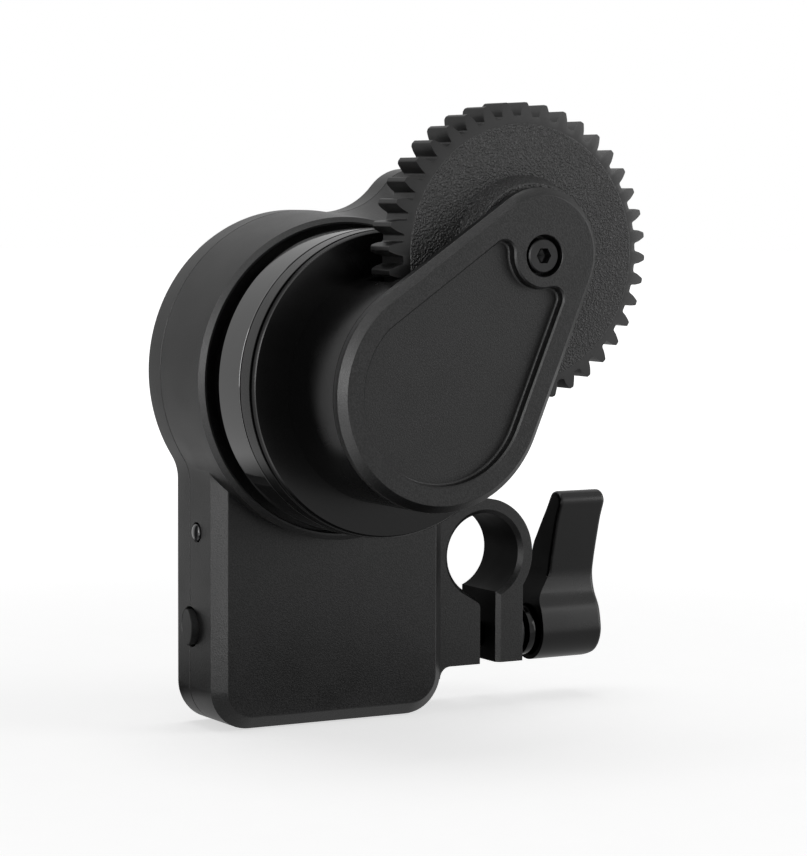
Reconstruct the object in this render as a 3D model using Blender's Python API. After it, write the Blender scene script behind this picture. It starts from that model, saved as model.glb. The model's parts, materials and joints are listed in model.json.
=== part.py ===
"""A lens follow focus unit, built as an assembly of separate pieces.

The unit hangs on a round rod.  A flat housing carries the motor behind a round head.  An arm turns
about the motor's axis and holds a big lens gear, which the motor's pinion drives inside the arm's hub.

Sizes are in metres.  Places are given from the drum axis at the box's front plane: X to the right,
Y to the back, Z up.  The whole assembly is then moved so that the rod's centre is the origin.
"""

import math

import bmesh
import bpy
from mathutils import Matrix, Vector

# Clearances and drawing steps
SEAM = 0.0002                       # gap at a joint that shows as a fine line
SEAT = 0.0003                       # gap between a piece and what it rests on
FIT = 0.0001                        # radial gap of a fixed fit
RUN = 0.00015                       # radial gap of a turning fit
OVERRUN = 0.001                     # how far a cutter passes the face that it opens
WELD = 0.000001                     # points nearer than this are one point
ROUND_PROFILE = 0.5                 # the bevel profile that draws an arc
ROUND_STEPS = 48
SMALL_ROUND_STEPS = 16
SMOOTH_ANGLE = math.radians(32.0)
TURN = math.radians(360.0)
HALF_TURN = TURN / 2
QUARTER_TURN = TURN / 4

# Housing box
BOX_LEFT_INSET = 0.00372            # how far the box's left side stands inside the head's
BOX_RIGHT_INSET = 0.00289
BOX_BOTTOM = -0.04051
BOX_DEPTH = 0.01044
BOX_CORNER_RADIUS = 0.0048
BOX_FRONT_CHAMFER = 0.0015
BOX_WALL = 0.0016
BOX_CAVITY_TOP = -0.0140
COVER_DEPTH = 0.00344               # from the parting plane to the back
NECK_FILLET_RADIUS = 0.0050
CORNER_STEPS = 6
HEXAGON_SIDES = 6

# Housing head, a round fairing that runs from a raised rear outline to the front collar
HEAD_RADIUS = 0.0186
HEAD_RISE = 0.00075
COLLAR_RISE = 0.00002               # how far the collar stands out from the head's radius
COLLAR_FRONT = -0.00353
COLLAR_CHAMFER = 0.00056
COLLAR_WALL = 0.00089
HEAD_WALL_FRONT = -0.0004
HEAD_WALL_BACK = 0.0012
HEAD_STEPS = 48

# Nose of the head, which holds the control socket
NOSE_X = 0.0152
NOSE_Z = 0.0186
NOSE_RADIUS = 0.0057
NOSE_BLEND_RADIUS = 0.0090
NOSE_STEPS = 7

# Rear cover
COVER_WALL = 0.00134
COVER_EDGE_CHAMFER = 0.0007
COVER_SCREW_SHANK_RADIUS = 0.0009
COVER_SCREW_HEAD_RADIUS = 0.0017
COVER_SCREW_LENGTH = 0.0062
COVER_SCREW_SOCKET_RADIUS = 0.0007
COVER_SCREW_SOCKET_DEPTH = 0.0006
BOX_SCREW_INSET = 0.0034
HEAD_SCREW_INSET = 0.0024
HEAD_SCREW_ANGLES = (math.radians(-8.0), math.radians(108.0), math.radians(178.0))

# Rod clamp
ROD_OUTSET = 0.00619                # from the box's right side to the rod's centre
ROD_Z = -0.0221
ROD_BORE_RADIUS = 0.0050
ROD_BORE_CHAMFER = 0.0005
CLAMP_FRONT = 0.00154
CLAMP_RING_RADIUS = 0.0068
CLAMP_BOTTOM = -0.03535
CLAMP_ROOT_DEPTH = 0.0004           # how far the clamp reaches into the box's side wall
CLAMP_ROOT_RADIUS = 0.0014
CLAMP_HEAD_BLEND_RADIUS = 0.0060
SLOT_INSET = 0.0006                 # from the rod's centre to the slot's left side
SLOT_WIDTH = 0.00245
SLOT_TOP = -0.0276
SLOT_CORNER_RADIUS = 0.0010
SHOULDER_ANGLE = math.radians(230.0)
EAR_THICKNESS = 0.00365
BORE_STEPS = 32

# Clamp screw and lever
SCREW_OFFSET = 0.00011              # from the middle of the clamp's depth to the screw
SCREW_Z = -0.0323
SCREW_RADIUS = 0.0015
SCREW_HOLE_RADIUS = 0.00175
SCREW_REACH = 0.0043                # how far the screw goes into the left half of the clamp
INSERT_RADIUS = 0.0023
INSERT_LENGTH = 0.0042
WASHER_RADIUS = 0.0033
WASHER_THICKNESS = 0.0007
FLANGE_RADIUS = 0.0031
FLANGE_THICKNESS = 0.0009
FLANGE_GAP = 0.0019                 # from the clamp's ear to the flange
DRIVE_RADIUS = 0.0020
DRIVE_LENGTH = 0.0036
LEVER_GAP = 0.0035                  # from the clamp's ear to the lever
LEVER_WIDTH = 0.0087
LEVER_ARM_INSET = 0.00205
LEVER_BOSS_RADIUS = 0.00375
LEVER_RECESS_DEPTH = 0.0005
LEVER_END_ROUND = 0.0008
LEVER_END_STEPS = 3
LEVER_TOP = -0.0150
LEVER_FLARE_TOP = -0.0250
LEVER_FLARE_BOTTOM = -0.0291
LEVER_TIP_FRONT = 0.0020
LEVER_TIP_RADIUS = 0.0012
LEVER_WAIST_FRONT = 0.0045
LEVER_BACK = 0.0096

# Left-side button and indicator
BUTTON_Z = -0.0290
BUTTON_RADIUS = 0.0021
BUTTON_HOLE_RADIUS = 0.0023
BUTTON_PROUD = 0.0009
BUTTON_TRAVEL = 0.0006
BUTTON_FLANGE_THICKNESS = 0.0005
BUTTON_FLANGE_HEIGHT = 0.0058
BUTTON_FLANGE_DEPTH = 0.0038
BUTTON_EDGE_CHAMFER = 0.0002
INDICATOR_INSET = 0.00185           # from the parting plane forwards
INDICATOR_Z = -0.0178
INDICATOR_RADIUS = 0.0010
INDICATOR_PROUD = 0.00045
INDICATOR_INSIDE = 0.0006

# Electronics
BOARD_INSET = 0.0018                # from the parting plane forwards
BOARD_THICKNESS = 0.0010
BOARD_BOTTOM = -0.0346
BOARD_TOP = -0.0189
BOARD_SIDE_GAP = 0.00338
CHIP_SIZE = 0.0060
CHIP_THICKNESS = 0.0009
CHIP_X = 0.0030
CHIP_Z = -0.0270
SWITCH_SIZE = 0.0030
SWITCH_THICKNESS = 0.0018
SWITCH_GAP = 0.0001                 # play left between the pressed button and its switch
SOCKET_WIDTH = 0.0084
SOCKET_HEIGHT = 0.0028
SOCKET_WALL = 0.0003
SOCKET_TONGUE = 0.0006
SOCKET_INNER_END = 0.0150
SOCKET_MOUTH = 0.0216
SOCKET_INSET = 0.0014               # from the parting plane forwards
ENCODER_BOARD_RADIUS = 0.0110
ENCODER_BOARD_THICKNESS = 0.0006

# Motor
MOTOR_WALL = 0.0050
ROTOR_GAP = 0.0004                  # from the arm's neck to the rotor
MAGNET_ROOM = 0.0011                # from the stator to the rear bearing
STATOR_INNER_RADIUS = 0.0096
MAGNET_RADIUS = 0.0092
MAGNET_INNER_RADIUS = 0.0068
SHAFT_RADIUS = 0.0015
SHAFT_REST = 0.0013                 # how far the shaft's end goes into the rear bearing
SHAFT_FRONT = -0.0240
BEARING_RADIUS = 0.0030
BEARING_THICKNESS = 0.0018
BEARING_BOSS_HEIGHT = 0.0016
BEARING_BOSS_RADIUS = 0.0042
ENCODER_MAGNET_RADIUS = 0.0040
ENCODER_MAGNET_THICKNESS = 0.0005

# Swivel of the arm in the head
SWIVEL_BORE_RADIUS = 0.0090
SWIVEL_END = 0.0026
CLIP_THICKNESS = 0.0006
CLIP_RADIUS = 0.0104
CLIP_GROOVE_DEPTH = 0.0008
FRICTION_WASHER_THICKNESS = 0.0004
FRICTION_WASHER_INSET = 0.00273     # from the collar's bore to the washer's edge
SHAFT_TUNNEL_RADIUS = 0.0022

# Drum
DRUM_GAP = 0.00028                  # radial gap between the drum and the collar's bore
DRUM_BACK = -0.0049
DRUM_BACK_CHAMFER = 0.0010
DRUM_RING_FRONT = -0.0109
DRUM_SEAM = 0.0002
DRUM_CORE_STEP = 0.0008
DRUM_SHOULDER_INSET = 0.00193
DISC_STEP = 0.00005
GROOVE_BACK = -0.01325
GROOVE_FRONT = -0.01368
RIM_STEP = 0.00035
DISC_FRONT = -0.0141
BASE_SCREW_CIRCLE_RADIUS = 0.0088
BASE_SCREW_COUNT = 3
BASE_SCREW_RADIUS = 0.0010
BASE_SCREW_HEAD_RADIUS = 0.0019
BASE_SCREW_HEAD_HEIGHT = 0.0016
BASE_SCREW_LENGTH = 0.0100
BASE_SCREW_START = math.radians(200.0)

# Hub and teardrop cover of the arm
HUB_INSET = 0.00406                 # from the rim to the hub's round end
HUB_ASIDE = -0.00015                # the hub's round end stands a little off the drum's axis
HUB_LIFT = -0.00045
HUB_FILLET_RADIUS = 0.0020
HUB_FILLET_STEPS = 5
HUB_SINK = 0.0005                   # how far the hub's post reaches into the disc
COVER_PLATE_FRONT = -0.02638
COVER_PLATE_BACK = -0.02467
COVER_PLATE_CHAMFER = 0.00086
ARM_TIP_RADIUS = 0.00736
POCKET_DEPTH = 0.0011
POCKET_MARGIN = 0.00213
POCKET_BITE_RADIUS = 0.0038
POCKET_CORNER_RADIUS = 0.0013
POCKET_SIDE_ANGLE = math.radians(134.0)     # where the pocket's round end turns into its upper side
ARM_SCREW_BORE_RADIUS = 0.00236
ARM_SCREW_HEAD_RADIUS = 0.0019
ARM_SCREW_HEAD_HEIGHT = 0.0019
ARM_SCREW_SHANK_RADIUS = 0.0010
ARM_SCREW_LENGTH = 0.0050
ARM_SCREW_SOCKET_RADIUS = 0.00087
ARM_SCREW_SOCKET_DEPTH = 0.0010
ARM_BOSS_RADIUS = 0.0032
ARM_BOSS_LENGTH = 0.0013

# Lens gear
GEAR_MODULE = 0.0008
GEAR_TEETH = 40
PINION_TEETH = 8
GEAR_ANGLE = math.radians(50.0)     # direction of the arm at rest
GEAR_BACK = -0.0169
GEAR_FRONT = -0.0218
GEAR_TIP_FRONT = -0.0212
GEAR_FACE_RADIUS = 0.01445
GEAR_PHASE = math.radians(-74.09)   # direction of one tooth at rest
GEAR_ADDENDUM_SHARE = 1.0
GEAR_DEDENDUM_SHARE = 1.05
GEAR_PRESSURE_ANGLE = math.radians(20.0)
GEAR_BACKLASH = 0.00008
GEAR_BACK_CHAMFER = 0.0003
GEAR_BOSS_RADIUS = 0.0087
GEAR_BOSS_FRONT_RADIUS = 0.0078
GEAR_BOSS_FRONT = -0.0243
GEAR_BORE_RADIUS = 0.0040
GEAR_RECESS_RADIUS = 0.0044
GEAR_RECESS_DEPTH = 0.0016
GEAR_SLOT_RADIAL_GAP = 0.0005
GEAR_SLOT_SIDE_GAP = 0.0004
FLANK_STEPS = 3
PINION_TIP_RADIUS = 0.00388
PINION_GAP = 0.00007
PINION_SAMPLES_PER_TOOTH = 16
PINION_ROLL_STEPS = 90
GEAR_SIDE_PARTS = 6                 # how finely the lens gear's outline is divided while it rolls
AXLE_RADIUS = 0.0025
AXLE_FLANGE_RADIUS = 0.0038
AXLE_FLANGE_THICKNESS = 0.0007
BUSH_LENGTH = 0.0019

# The lever's outline, as shares of its tip radius and of its height
WING_FRONT_SHARES = ((-0.32, 0.78), (0.4, 0.64), (1.05, 0.50))
WAIST_HEIGHT_SHARE = 0.34
BACK_HEIGHT_SHARE = 0.47
LEVER_BOSS_FROM = math.radians(150.0)
LEVER_BOSS_TO = math.radians(20.0)
LEVER_TIP_FROM = math.radians(35.0)
LEVER_TIP_TO = math.radians(205.0)

# Places and sizes that follow from those above
BOX_LEFT = BOX_LEFT_INSET - HEAD_RADIUS
BOX_RIGHT = HEAD_RADIUS - BOX_RIGHT_INSET
PARTING_Y = BOX_DEPTH - COVER_DEPTH
COLLAR_RADIUS = HEAD_RADIUS + COLLAR_RISE
COLLAR_BORE_RADIUS = COLLAR_RADIUS - COLLAR_WALL
HEAD_SCREW_CIRCLE_RADIUS = HEAD_RADIUS - HEAD_SCREW_INSET
ROD_X = BOX_RIGHT + ROD_OUTSET
ROD_MIDDLE_Y = (CLAMP_FRONT + BOX_DEPTH) / 2
SLOT_LEFT = ROD_X - SLOT_INSET
SLOT_RIGHT = SLOT_LEFT + SLOT_WIDTH
EAR_RIGHT = SLOT_RIGHT + EAR_THICKNESS
SCREW_Y = ROD_MIDDLE_Y + SCREW_OFFSET
SCREW_END = SLOT_LEFT - SCREW_REACH
FLANGE_START = EAR_RIGHT + FLANGE_GAP
LEVER_LEFT = EAR_RIGHT + LEVER_GAP
LEVER_RIGHT = LEVER_LEFT + LEVER_WIDTH
LEVER_ARM_LEFT = LEVER_LEFT + LEVER_ARM_INSET
INDICATOR_Y = PARTING_Y - INDICATOR_INSET
BOARD_FRONT = PARTING_Y - BOARD_INSET
BOARD_LEFT = BOX_LEFT + BOARD_SIDE_GAP
SOCKET_Y = PARTING_Y - SOCKET_INSET
MOTOR_CAVITY_RADIUS = HEAD_RADIUS - MOTOR_WALL
DRUM_RADIUS = COLLAR_BORE_RADIUS - DRUM_GAP
DRUM_SHOULDER_RADIUS = COLLAR_BORE_RADIUS - DRUM_SHOULDER_INSET
DRUM_CORE_RADIUS = DRUM_SHOULDER_RADIUS - DRUM_CORE_STEP
FRICTION_WASHER_RADIUS = COLLAR_BORE_RADIUS - FRICTION_WASHER_INSET
DISC_RADIUS = DRUM_RADIUS - DISC_STEP
RIM_RADIUS = DISC_RADIUS - RIM_STEP
HUB_RADIUS = RIM_RADIUS - HUB_INSET
HUB_CENTRE = Vector((HUB_ASIDE, HUB_LIFT))
HEAD_CENTRE = Vector((0.0, HEAD_RISE))
NOSE_CENTRE = Vector((NOSE_X, NOSE_Z))
ROD_CENTRE = Vector((ROD_X, ROD_Z))
AXIS_DISTANCE = GEAR_MODULE * (GEAR_TEETH + PINION_TEETH) / 2
GEAR_CENTRE = Vector((math.cos(GEAR_ANGLE), math.sin(GEAR_ANGLE))) * AXIS_DISTANCE
GEAR_PITCH_RADIUS = GEAR_MODULE * GEAR_TEETH / 2
GEAR_TIP_RADIUS = GEAR_PITCH_RADIUS + GEAR_ADDENDUM_SHARE * GEAR_MODULE
GEAR_ROOT_RADIUS = GEAR_PITCH_RADIUS - GEAR_DEDENDUM_SHARE * GEAR_MODULE
HUB_FRONT = COVER_PLATE_BACK + SEAM
GEAR_SLOT_BACK = GEAR_BACK + GEAR_SLOT_SIDE_GAP
GEAR_SLOT_FRONT = GEAR_FRONT - GEAR_SLOT_SIDE_GAP
COVER_INSIDE = BOX_DEPTH - COVER_WALL
REAR_BEARING_FRONT = COVER_INSIDE - BEARING_BOSS_HEIGHT
SHAFT_BACK = REAR_BEARING_FRONT + SHAFT_REST
STATOR_FRONT = SWIVEL_END + ROTOR_GAP
STATOR_THICKNESS = REAR_BEARING_FRONT - MAGNET_ROOM - STATOR_FRONT
BOX_INNER_LEFT = BOX_LEFT + BOX_WALL
BOX_INNER_RIGHT = BOX_RIGHT - BOX_WALL


# Outlines

def bearing(start, end):
    """The direction from one point to another, as an angle."""
    return math.atan2(end.y - start.y, end.x - start.x)


def polar(centre, radius, angle):
    """The point at a radius and an angle from a centre."""
    return centre + Vector((math.cos(angle), math.sin(angle))) * radius


def arc(centre, radius, start, end, steps, turning=1):
    """Points of an arc from one angle to another, anticlockwise when turning is 1 and clockwise when -1."""
    sweep = ((end - start) * turning) % TURN * turning
    return [polar(centre, radius, start + sweep * step / steps) for step in range(steps + 1)]


def meeting_point(first, first_reach, second, second_reach, side):
    """The point at given distances from two centres, left of the line between them when side is 1."""
    apart = (second - first).length
    along = (apart**2 + first_reach**2 - second_reach**2) / (2 * apart)
    across = math.sqrt(first_reach**2 - along**2)
    direction = (second - first) / apart
    return first + direction * along + Vector((-direction.y, direction.x)) * across * side


def neck_fillet(side_x, outward):
    """The centre of the hollow fillet between a side of the box and the head."""
    x = side_x + NECK_FILLET_RADIUS * outward
    reach = HEAD_RADIUS + NECK_FILLET_RADIUS
    return Vector((x, HEAD_CENTRE.y - math.sqrt(reach**2 - (x - HEAD_CENTRE.x) ** 2)))


def nose_points():
    """The nose from the head's right side to its left side, with the blends at its root."""
    blends = [
        meeting_point(
            HEAD_CENTRE,
            HEAD_RADIUS + NOSE_BLEND_RADIUS,
            NOSE_CENTRE,
            NOSE_RADIUS + NOSE_BLEND_RADIUS,
            side,
        )
        for side in (-1, 1)
    ]
    right, left = blends
    blend = NOSE_BLEND_RADIUS
    points = arc(right, blend, bearing(right, HEAD_CENTRE), bearing(right, NOSE_CENTRE), NOSE_STEPS, -1)
    tip_start = bearing(NOSE_CENTRE, right)
    points += arc(NOSE_CENTRE, NOSE_RADIUS, tip_start, bearing(NOSE_CENTRE, left), NOSE_STEPS)
    points += arc(left, blend, bearing(left, NOSE_CENTRE), bearing(left, HEAD_CENTRE), NOSE_STEPS, -1)
    return points, bearing(HEAD_CENTRE, right), bearing(HEAD_CENTRE, left)


def head_outline():
    """The head's circle with its nose, without the box."""
    nose, nose_start, nose_end = nose_points()
    return nose + arc(HEAD_CENTRE, HEAD_RADIUS, nose_end, nose_start, HEAD_STEPS)


def box_lower_points():
    """The box from the left fillet round its two lower corners to the right fillet."""
    left = neck_fillet(BOX_LEFT, -1)
    right = neck_fillet(BOX_RIGHT, 1)
    radius = BOX_CORNER_RADIUS
    lower_left = Vector((BOX_LEFT + radius, BOX_BOTTOM + radius))
    lower_right = Vector((BOX_RIGHT - radius, BOX_BOTTOM + radius))
    points = arc(left, NECK_FILLET_RADIUS, bearing(left, HEAD_CENTRE), 0.0, CORNER_STEPS, -1)
    points += arc(lower_left, radius, HALF_TURN, -QUARTER_TURN, CORNER_STEPS)
    points += arc(lower_right, radius, -QUARTER_TURN, 0.0, CORNER_STEPS)
    points += arc(right, NECK_FILLET_RADIUS, HALF_TURN, bearing(right, HEAD_CENTRE), CORNER_STEPS, -1)
    return points, bearing(HEAD_CENTRE, left), bearing(HEAD_CENTRE, right)


def housing_outline():
    """The whole housing: the box, the head and the nose, without the rod clamp."""
    box, box_start, box_end = box_lower_points()
    nose, nose_start, nose_end = nose_points()
    right_side = arc(HEAD_CENTRE, HEAD_RADIUS, box_end, nose_start, HEAD_STEPS // 4)
    left_side = arc(HEAD_CENTRE, HEAD_RADIUS, nose_end, box_start, HEAD_STEPS // 2)
    return without_doubles(box + right_side + nose + left_side)


def without_doubles(points):
    """The same outline with each repeated point dropped."""
    return [point for index, point in enumerate(points) if (point - points[index - 1]).length > WELD]


def rounded_box(left, right, bottom, top, radius):
    """A rectangle with four round corners."""
    corners = (
        (right - radius, top - radius, 0.0),
        (left + radius, top - radius, QUARTER_TURN),
        (left + radius, bottom + radius, HALF_TURN),
        (right - radius, bottom + radius, -QUARTER_TURN),
    )
    points = []
    for x, z, start in corners:
        points += arc(Vector((x, z)), radius, start, start + QUARTER_TURN, CORNER_STEPS)
    return points


def clamp_outline(root_x):
    """The rod clamp with its open bore and slot, starting at the given X inside the box's side."""
    root = CLAMP_ROOT_RADIUS
    root_centre = Vector((BOX_RIGHT + root, CLAMP_BOTTOM - root))
    corner = SLOT_CORNER_RADIUS
    slot_corner = Vector((SLOT_LEFT - corner, SLOT_TOP - corner))
    shoulder = polar(ROD_CENTRE, ROD_BORE_RADIUS, SHOULDER_ANGLE)
    shoulder_direction = bearing(shoulder, polar(slot_corner, corner, QUARTER_TURN))
    ear_meets_bore = -math.acos((SLOT_RIGHT - ROD_X) / ROD_BORE_RADIUS)
    ear_meets_ring = -math.acos((EAR_RIGHT - ROD_X) / CLAMP_RING_RADIUS)
    blend = meeting_point(
        ROD_CENTRE,
        CLAMP_RING_RADIUS + CLAMP_HEAD_BLEND_RADIUS,
        HEAD_CENTRE,
        HEAD_RADIUS + CLAMP_HEAD_BLEND_RADIUS,
        -1,
    )
    blend_end = bearing(blend, HEAD_CENTRE)
    points = [Vector((root_x, root_centre.y))]
    points += arc(root_centre, root, HALF_TURN, QUARTER_TURN, CORNER_STEPS, -1)
    points.append(Vector((SLOT_LEFT, CLAMP_BOTTOM)))
    points += arc(slot_corner, corner, 0.0, shoulder_direction + QUARTER_TURN, CORNER_STEPS)
    points += arc(ROD_CENTRE, ROD_BORE_RADIUS, SHOULDER_ANGLE, ear_meets_bore, BORE_STEPS, -1)
    points.append(Vector((SLOT_RIGHT, CLAMP_BOTTOM)))
    points.append(Vector((EAR_RIGHT, CLAMP_BOTTOM)))
    points += arc(ROD_CENTRE, CLAMP_RING_RADIUS, ear_meets_ring, bearing(ROD_CENTRE, blend), BORE_STEPS // 2)
    points += arc(blend, CLAMP_HEAD_BLEND_RADIUS, bearing(blend, ROD_CENTRE), blend_end, CORNER_STEPS, -1)
    points.append(Vector((root_x, points[-1].y)))
    return without_doubles(points)


def tangent_angles(big_radius, tip_radius):
    """The angles at which the right and the left tangent touch the hub's round end and the arm's tip."""
    along = GEAR_CENTRE - HUB_CENTRE
    spread = math.acos((big_radius - tip_radius) / along.length)
    direction = bearing(HUB_CENTRE, GEAR_CENTRE)
    return direction - spread, direction + spread


def teardrop(big_radius, tip_radius, steps):
    """Two round ends, the big one on the hub and the small one on the gear axis, and their tangents."""
    right, left = tangent_angles(big_radius, tip_radius)
    points = arc(GEAR_CENTRE, tip_radius, right, left, steps // 2)
    points += arc(HUB_CENTRE, big_radius, left, right, steps)
    return points


def involute(angle):
    """The involute of an angle."""
    return math.tan(angle) - angle


def gear_outline():
    """The lens gear's teeth, with involute flanks, about its own centre."""
    base_radius = GEAR_PITCH_RADIUS * math.cos(GEAR_PRESSURE_ANGLE)
    half_tooth = (math.pi * GEAR_MODULE / 2 - GEAR_BACKLASH) / (2 * GEAR_PITCH_RADIUS)
    half_tooth += involute(GEAR_PRESSURE_ANGLE)
    lowest = max(base_radius, GEAR_ROOT_RADIUS)
    half_angles = []
    for step in range(FLANK_STEPS + 1):
        radius = lowest + (GEAR_TIP_RADIUS - lowest) * step / FLANK_STEPS
        half_angles.append((radius, half_tooth - involute(math.acos(base_radius / radius))))
    half_angles.insert(0, (GEAR_ROOT_RADIUS, half_angles[0][1]))
    centre = Vector((0.0, 0.0))
    points = []
    for tooth in range(GEAR_TEETH):
        middle = GEAR_PHASE + TURN * tooth / GEAR_TEETH
        points += [polar(centre, radius, middle - angle) for radius, angle in half_angles]
        points += [polar(centre, radius, middle + angle) for radius, angle in reversed(half_angles)]
    return without_doubles(points)


def finely_divided(outline, parts):
    """The outline with each side cut into equal parts."""
    points = []
    for index, point in enumerate(outline):
        following = outline[(index + 1) % len(outline)]
        points += [point.lerp(following, part / parts) for part in range(parts)]
    return points


def pinion_outline():
    """The pinion's teeth: what is left of a disc after the lens gear has rolled through it once."""
    tooth_angle = TURN / PINION_TEETH
    samples = PINION_SAMPLES_PER_TOOTH
    reach = [PINION_TIP_RADIUS] * samples
    near = AXIS_DISTANCE - PINION_TIP_RADIUS
    gear = [point for point in finely_divided(gear_outline(), GEAR_SIDE_PARTS) if point.length > near]
    for step in range(PINION_ROLL_STEPS):
        rolled = tooth_angle * step / PINION_ROLL_STEPS
        turn_gear = Matrix.Rotation(-rolled * PINION_TEETH / GEAR_TEETH, 2)
        turn_back = Matrix.Rotation(-rolled, 2)
        for point in gear:
            seen = turn_back @ (turn_gear @ point + GEAR_CENTRE)
            if seen.length >= PINION_TIP_RADIUS:
                continue
            slot = int(math.atan2(seen.y, seen.x) % tooth_angle / tooth_angle * samples) % samples
            reach[slot] = min(reach[slot], seen.length)
    points = []
    for index in range(samples * PINION_TEETH):
        around = [reach[(index + offset) % samples] for offset in (-1, 0)]
        points.append(polar(Vector((0.0, 0.0)), min(around) - PINION_GAP, tooth_angle * index / samples))
    return points


# Shapes

def prism(outline, front, back):
    """A block with the given outline in X and Z, between two Y planes."""
    shape = bmesh.new()
    face = shape.faces.new([shape.verts.new((point.x, back, point.y)) for point in outline])
    pulled = bmesh.ops.extrude_face_region(shape, geom=[face])["geom"]
    moved = [item for item in pulled if isinstance(item, bmesh.types.BMVert)]
    bmesh.ops.translate(shape, vec=(0.0, front - back, 0.0), verts=moved)
    return finished(shape)


def block(x_range, y_range, z_range):
    """A plain rectangular block."""
    left, right = x_range
    bottom, top = z_range
    corners = [Vector((left, bottom)), Vector((right, bottom)), Vector((right, top)), Vector((left, top))]
    return prism(corners, *y_range)


def turned(profile, steps, axis="Y"):
    """A round piece from a profile of (radius, place along the axis), closed when it starts off the axis."""
    along = Vector((0.0, 1.0, 0.0)) if axis == "Y" else Vector((1.0, 0.0, 0.0))
    outwards = Vector((0.0, 0.0, 1.0))
    shape = bmesh.new()
    points = [shape.verts.new(along * place + outwards * radius) for radius, place in profile]
    pairs = list(zip(points, points[1:]))
    if profile[0][0] > 0.0:
        pairs.append((points[-1], points[0]))
    edges = [shape.edges.new(pair) for pair in pairs]
    bmesh.ops.spin(
        shape, geom=points + edges, cent=(0.0, 0.0, 0.0), axis=along, angle=TURN, steps=steps, use_merge=True
    )
    return finished(shape)


def ring(inner, outer, front, back):
    """The profile of a plain ring."""
    return [(inner, front), (outer, front), (outer, back), (inner, back)]


def rod(radius, front, back):
    """The profile of a plain rod."""
    return [(0.0, front), (radius, front), (radius, back), (0.0, back)]


def finished(shape):
    """The same shape with its doubles merged and its faces pointing out."""
    bmesh.ops.remove_doubles(shape, verts=shape.verts, dist=WELD)
    bmesh.ops.recalc_face_normals(shape, faces=shape.faces)
    return shape


def chamfered(shape, width, chosen, steps=1):
    """The same shape with the chosen edges bevelled, round when there are several steps."""
    bmesh.ops.bevel(
        shape,
        geom=[edge for edge in shape.edges if chosen(edge)],
        offset=width,
        offset_type="OFFSET",
        segments=steps,
        profile=ROUND_PROFILE,
        affect="EDGES",
        material=-1,
    )
    return finished(shape)


def in_plane(y):
    """A test for the edges that lie in one Y plane."""
    return lambda edge: all(abs(vert.co.y - y) < WELD for vert in edge.verts)


# Materials and objects

class Finish:
    """A named surface colour with its roughness and metallic value."""

    def __init__(self, name, colour, roughness, metallic):
        self.material = bpy.data.materials.new(name)
        self.material.use_nodes = True
        self.material.diffuse_color = (*colour, 1.0)
        shader = self.material.node_tree.nodes["Principled BSDF"]
        shader.inputs["Base Color"].default_value = (*colour, 1.0)
        shader.inputs["Roughness"].default_value = roughness
        shader.inputs["Metallic"].default_value = metallic


def clear_scene():
    """Removes whatever the new file holds."""
    for existing in list(bpy.data.objects):
        bpy.data.objects.remove(existing)


def pivot(name, parent, place):
    """An empty that stands on an axis."""
    empty = bpy.data.objects.new(name, None)
    bpy.context.scene.collection.objects.link(empty)
    empty.parent = parent
    empty.location = place
    return empty


def piece(name, shape, finish, parent, place=(0.0, 0.0, 0.0)):
    """A sub-part of the assembly."""
    made = helper(name, shape, parent, place)
    made.data.materials.append(finish.material)
    return made


def helper(name, shape, parent, place=(0.0, 0.0, 0.0)):
    """A mesh object under its parent."""
    mesh = bpy.data.meshes.new(name)
    shape.to_mesh(mesh)
    shape.free()
    mesh.shade_smooth()
    mesh.set_sharp_from_angle(angle=SMOOTH_ANGLE)
    made = bpy.data.objects.new(name, mesh)
    bpy.context.scene.collection.objects.link(made)
    made.parent = parent
    made.location = place
    return made


def combine(target, shape, operation, place=(0.0, 0.0, 0.0)):
    """Cuts a shape from a piece, joins it on, or keeps only what lies in both."""
    name = f"{target.name}_{operation.lower()}_{len(target.modifiers)}"
    tool = helper(name, shape, target.parent, place)
    tool.hide_render = True
    tool.display_type = "WIRE"
    modifier = target.modifiers.new(name, "BOOLEAN")
    modifier.operation = operation
    modifier.solver = "EXACT"
    modifier.object = tool


def cut(target, shape, place=(0.0, 0.0, 0.0)):
    """Cuts a shape out of a piece."""
    combine(target, shape, "DIFFERENCE", place)


def join(target, shape, place=(0.0, 0.0, 0.0)):
    """Joins a shape to a piece."""
    combine(target, shape, "UNION", place)


# Features that two pieces share

def cover_screw_places():
    """Where the rear cover's screws stand, as (x, z)."""
    inset = BOX_SCREW_INSET
    places = [
        Vector((BOX_LEFT + inset, BOX_BOTTOM + inset)),
        Vector((BOX_RIGHT - inset, BOX_BOTTOM + inset)),
    ]
    places += [polar(HEAD_CENTRE, HEAD_SCREW_CIRCLE_RADIUS, angle) for angle in HEAD_SCREW_ANGLES]
    return places


def screw_cone_end():
    """Where the cone under a cover screw's head comes down to its shank."""
    return BOX_DEPTH - SEAT - (COVER_SCREW_HEAD_RADIUS - COVER_SCREW_SHANK_RADIUS)


def screw_tip():
    """The front end of a cover screw."""
    return BOX_DEPTH - SEAT - COVER_SCREW_LENGTH


def cover_screw_profile():
    """The profile of a countersunk cover screw."""
    face = BOX_DEPTH - SEAT
    shank = COVER_SCREW_SHANK_RADIUS
    return [
        (0.0, screw_tip()),
        (shank, screw_tip()),
        (shank, screw_cone_end()),
        (COVER_SCREW_HEAD_RADIUS, face),
        (0.0, face),
    ]


def cover_screw_hole():
    """The hole for a cover screw, with a short counterbore over its head."""
    face = BOX_DEPTH - SEAT
    wide = COVER_SCREW_HEAD_RADIUS + FIT
    narrow = COVER_SCREW_SHANK_RADIUS + FIT
    return [
        (0.0, screw_tip() - SEAT),
        (narrow, screw_tip() - SEAT),
        (narrow, screw_cone_end() - FIT),
        (wide, face - FIT),
        (wide, BOX_DEPTH + OVERRUN),
        (0.0, BOX_DEPTH + OVERRUN),
    ]


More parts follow.
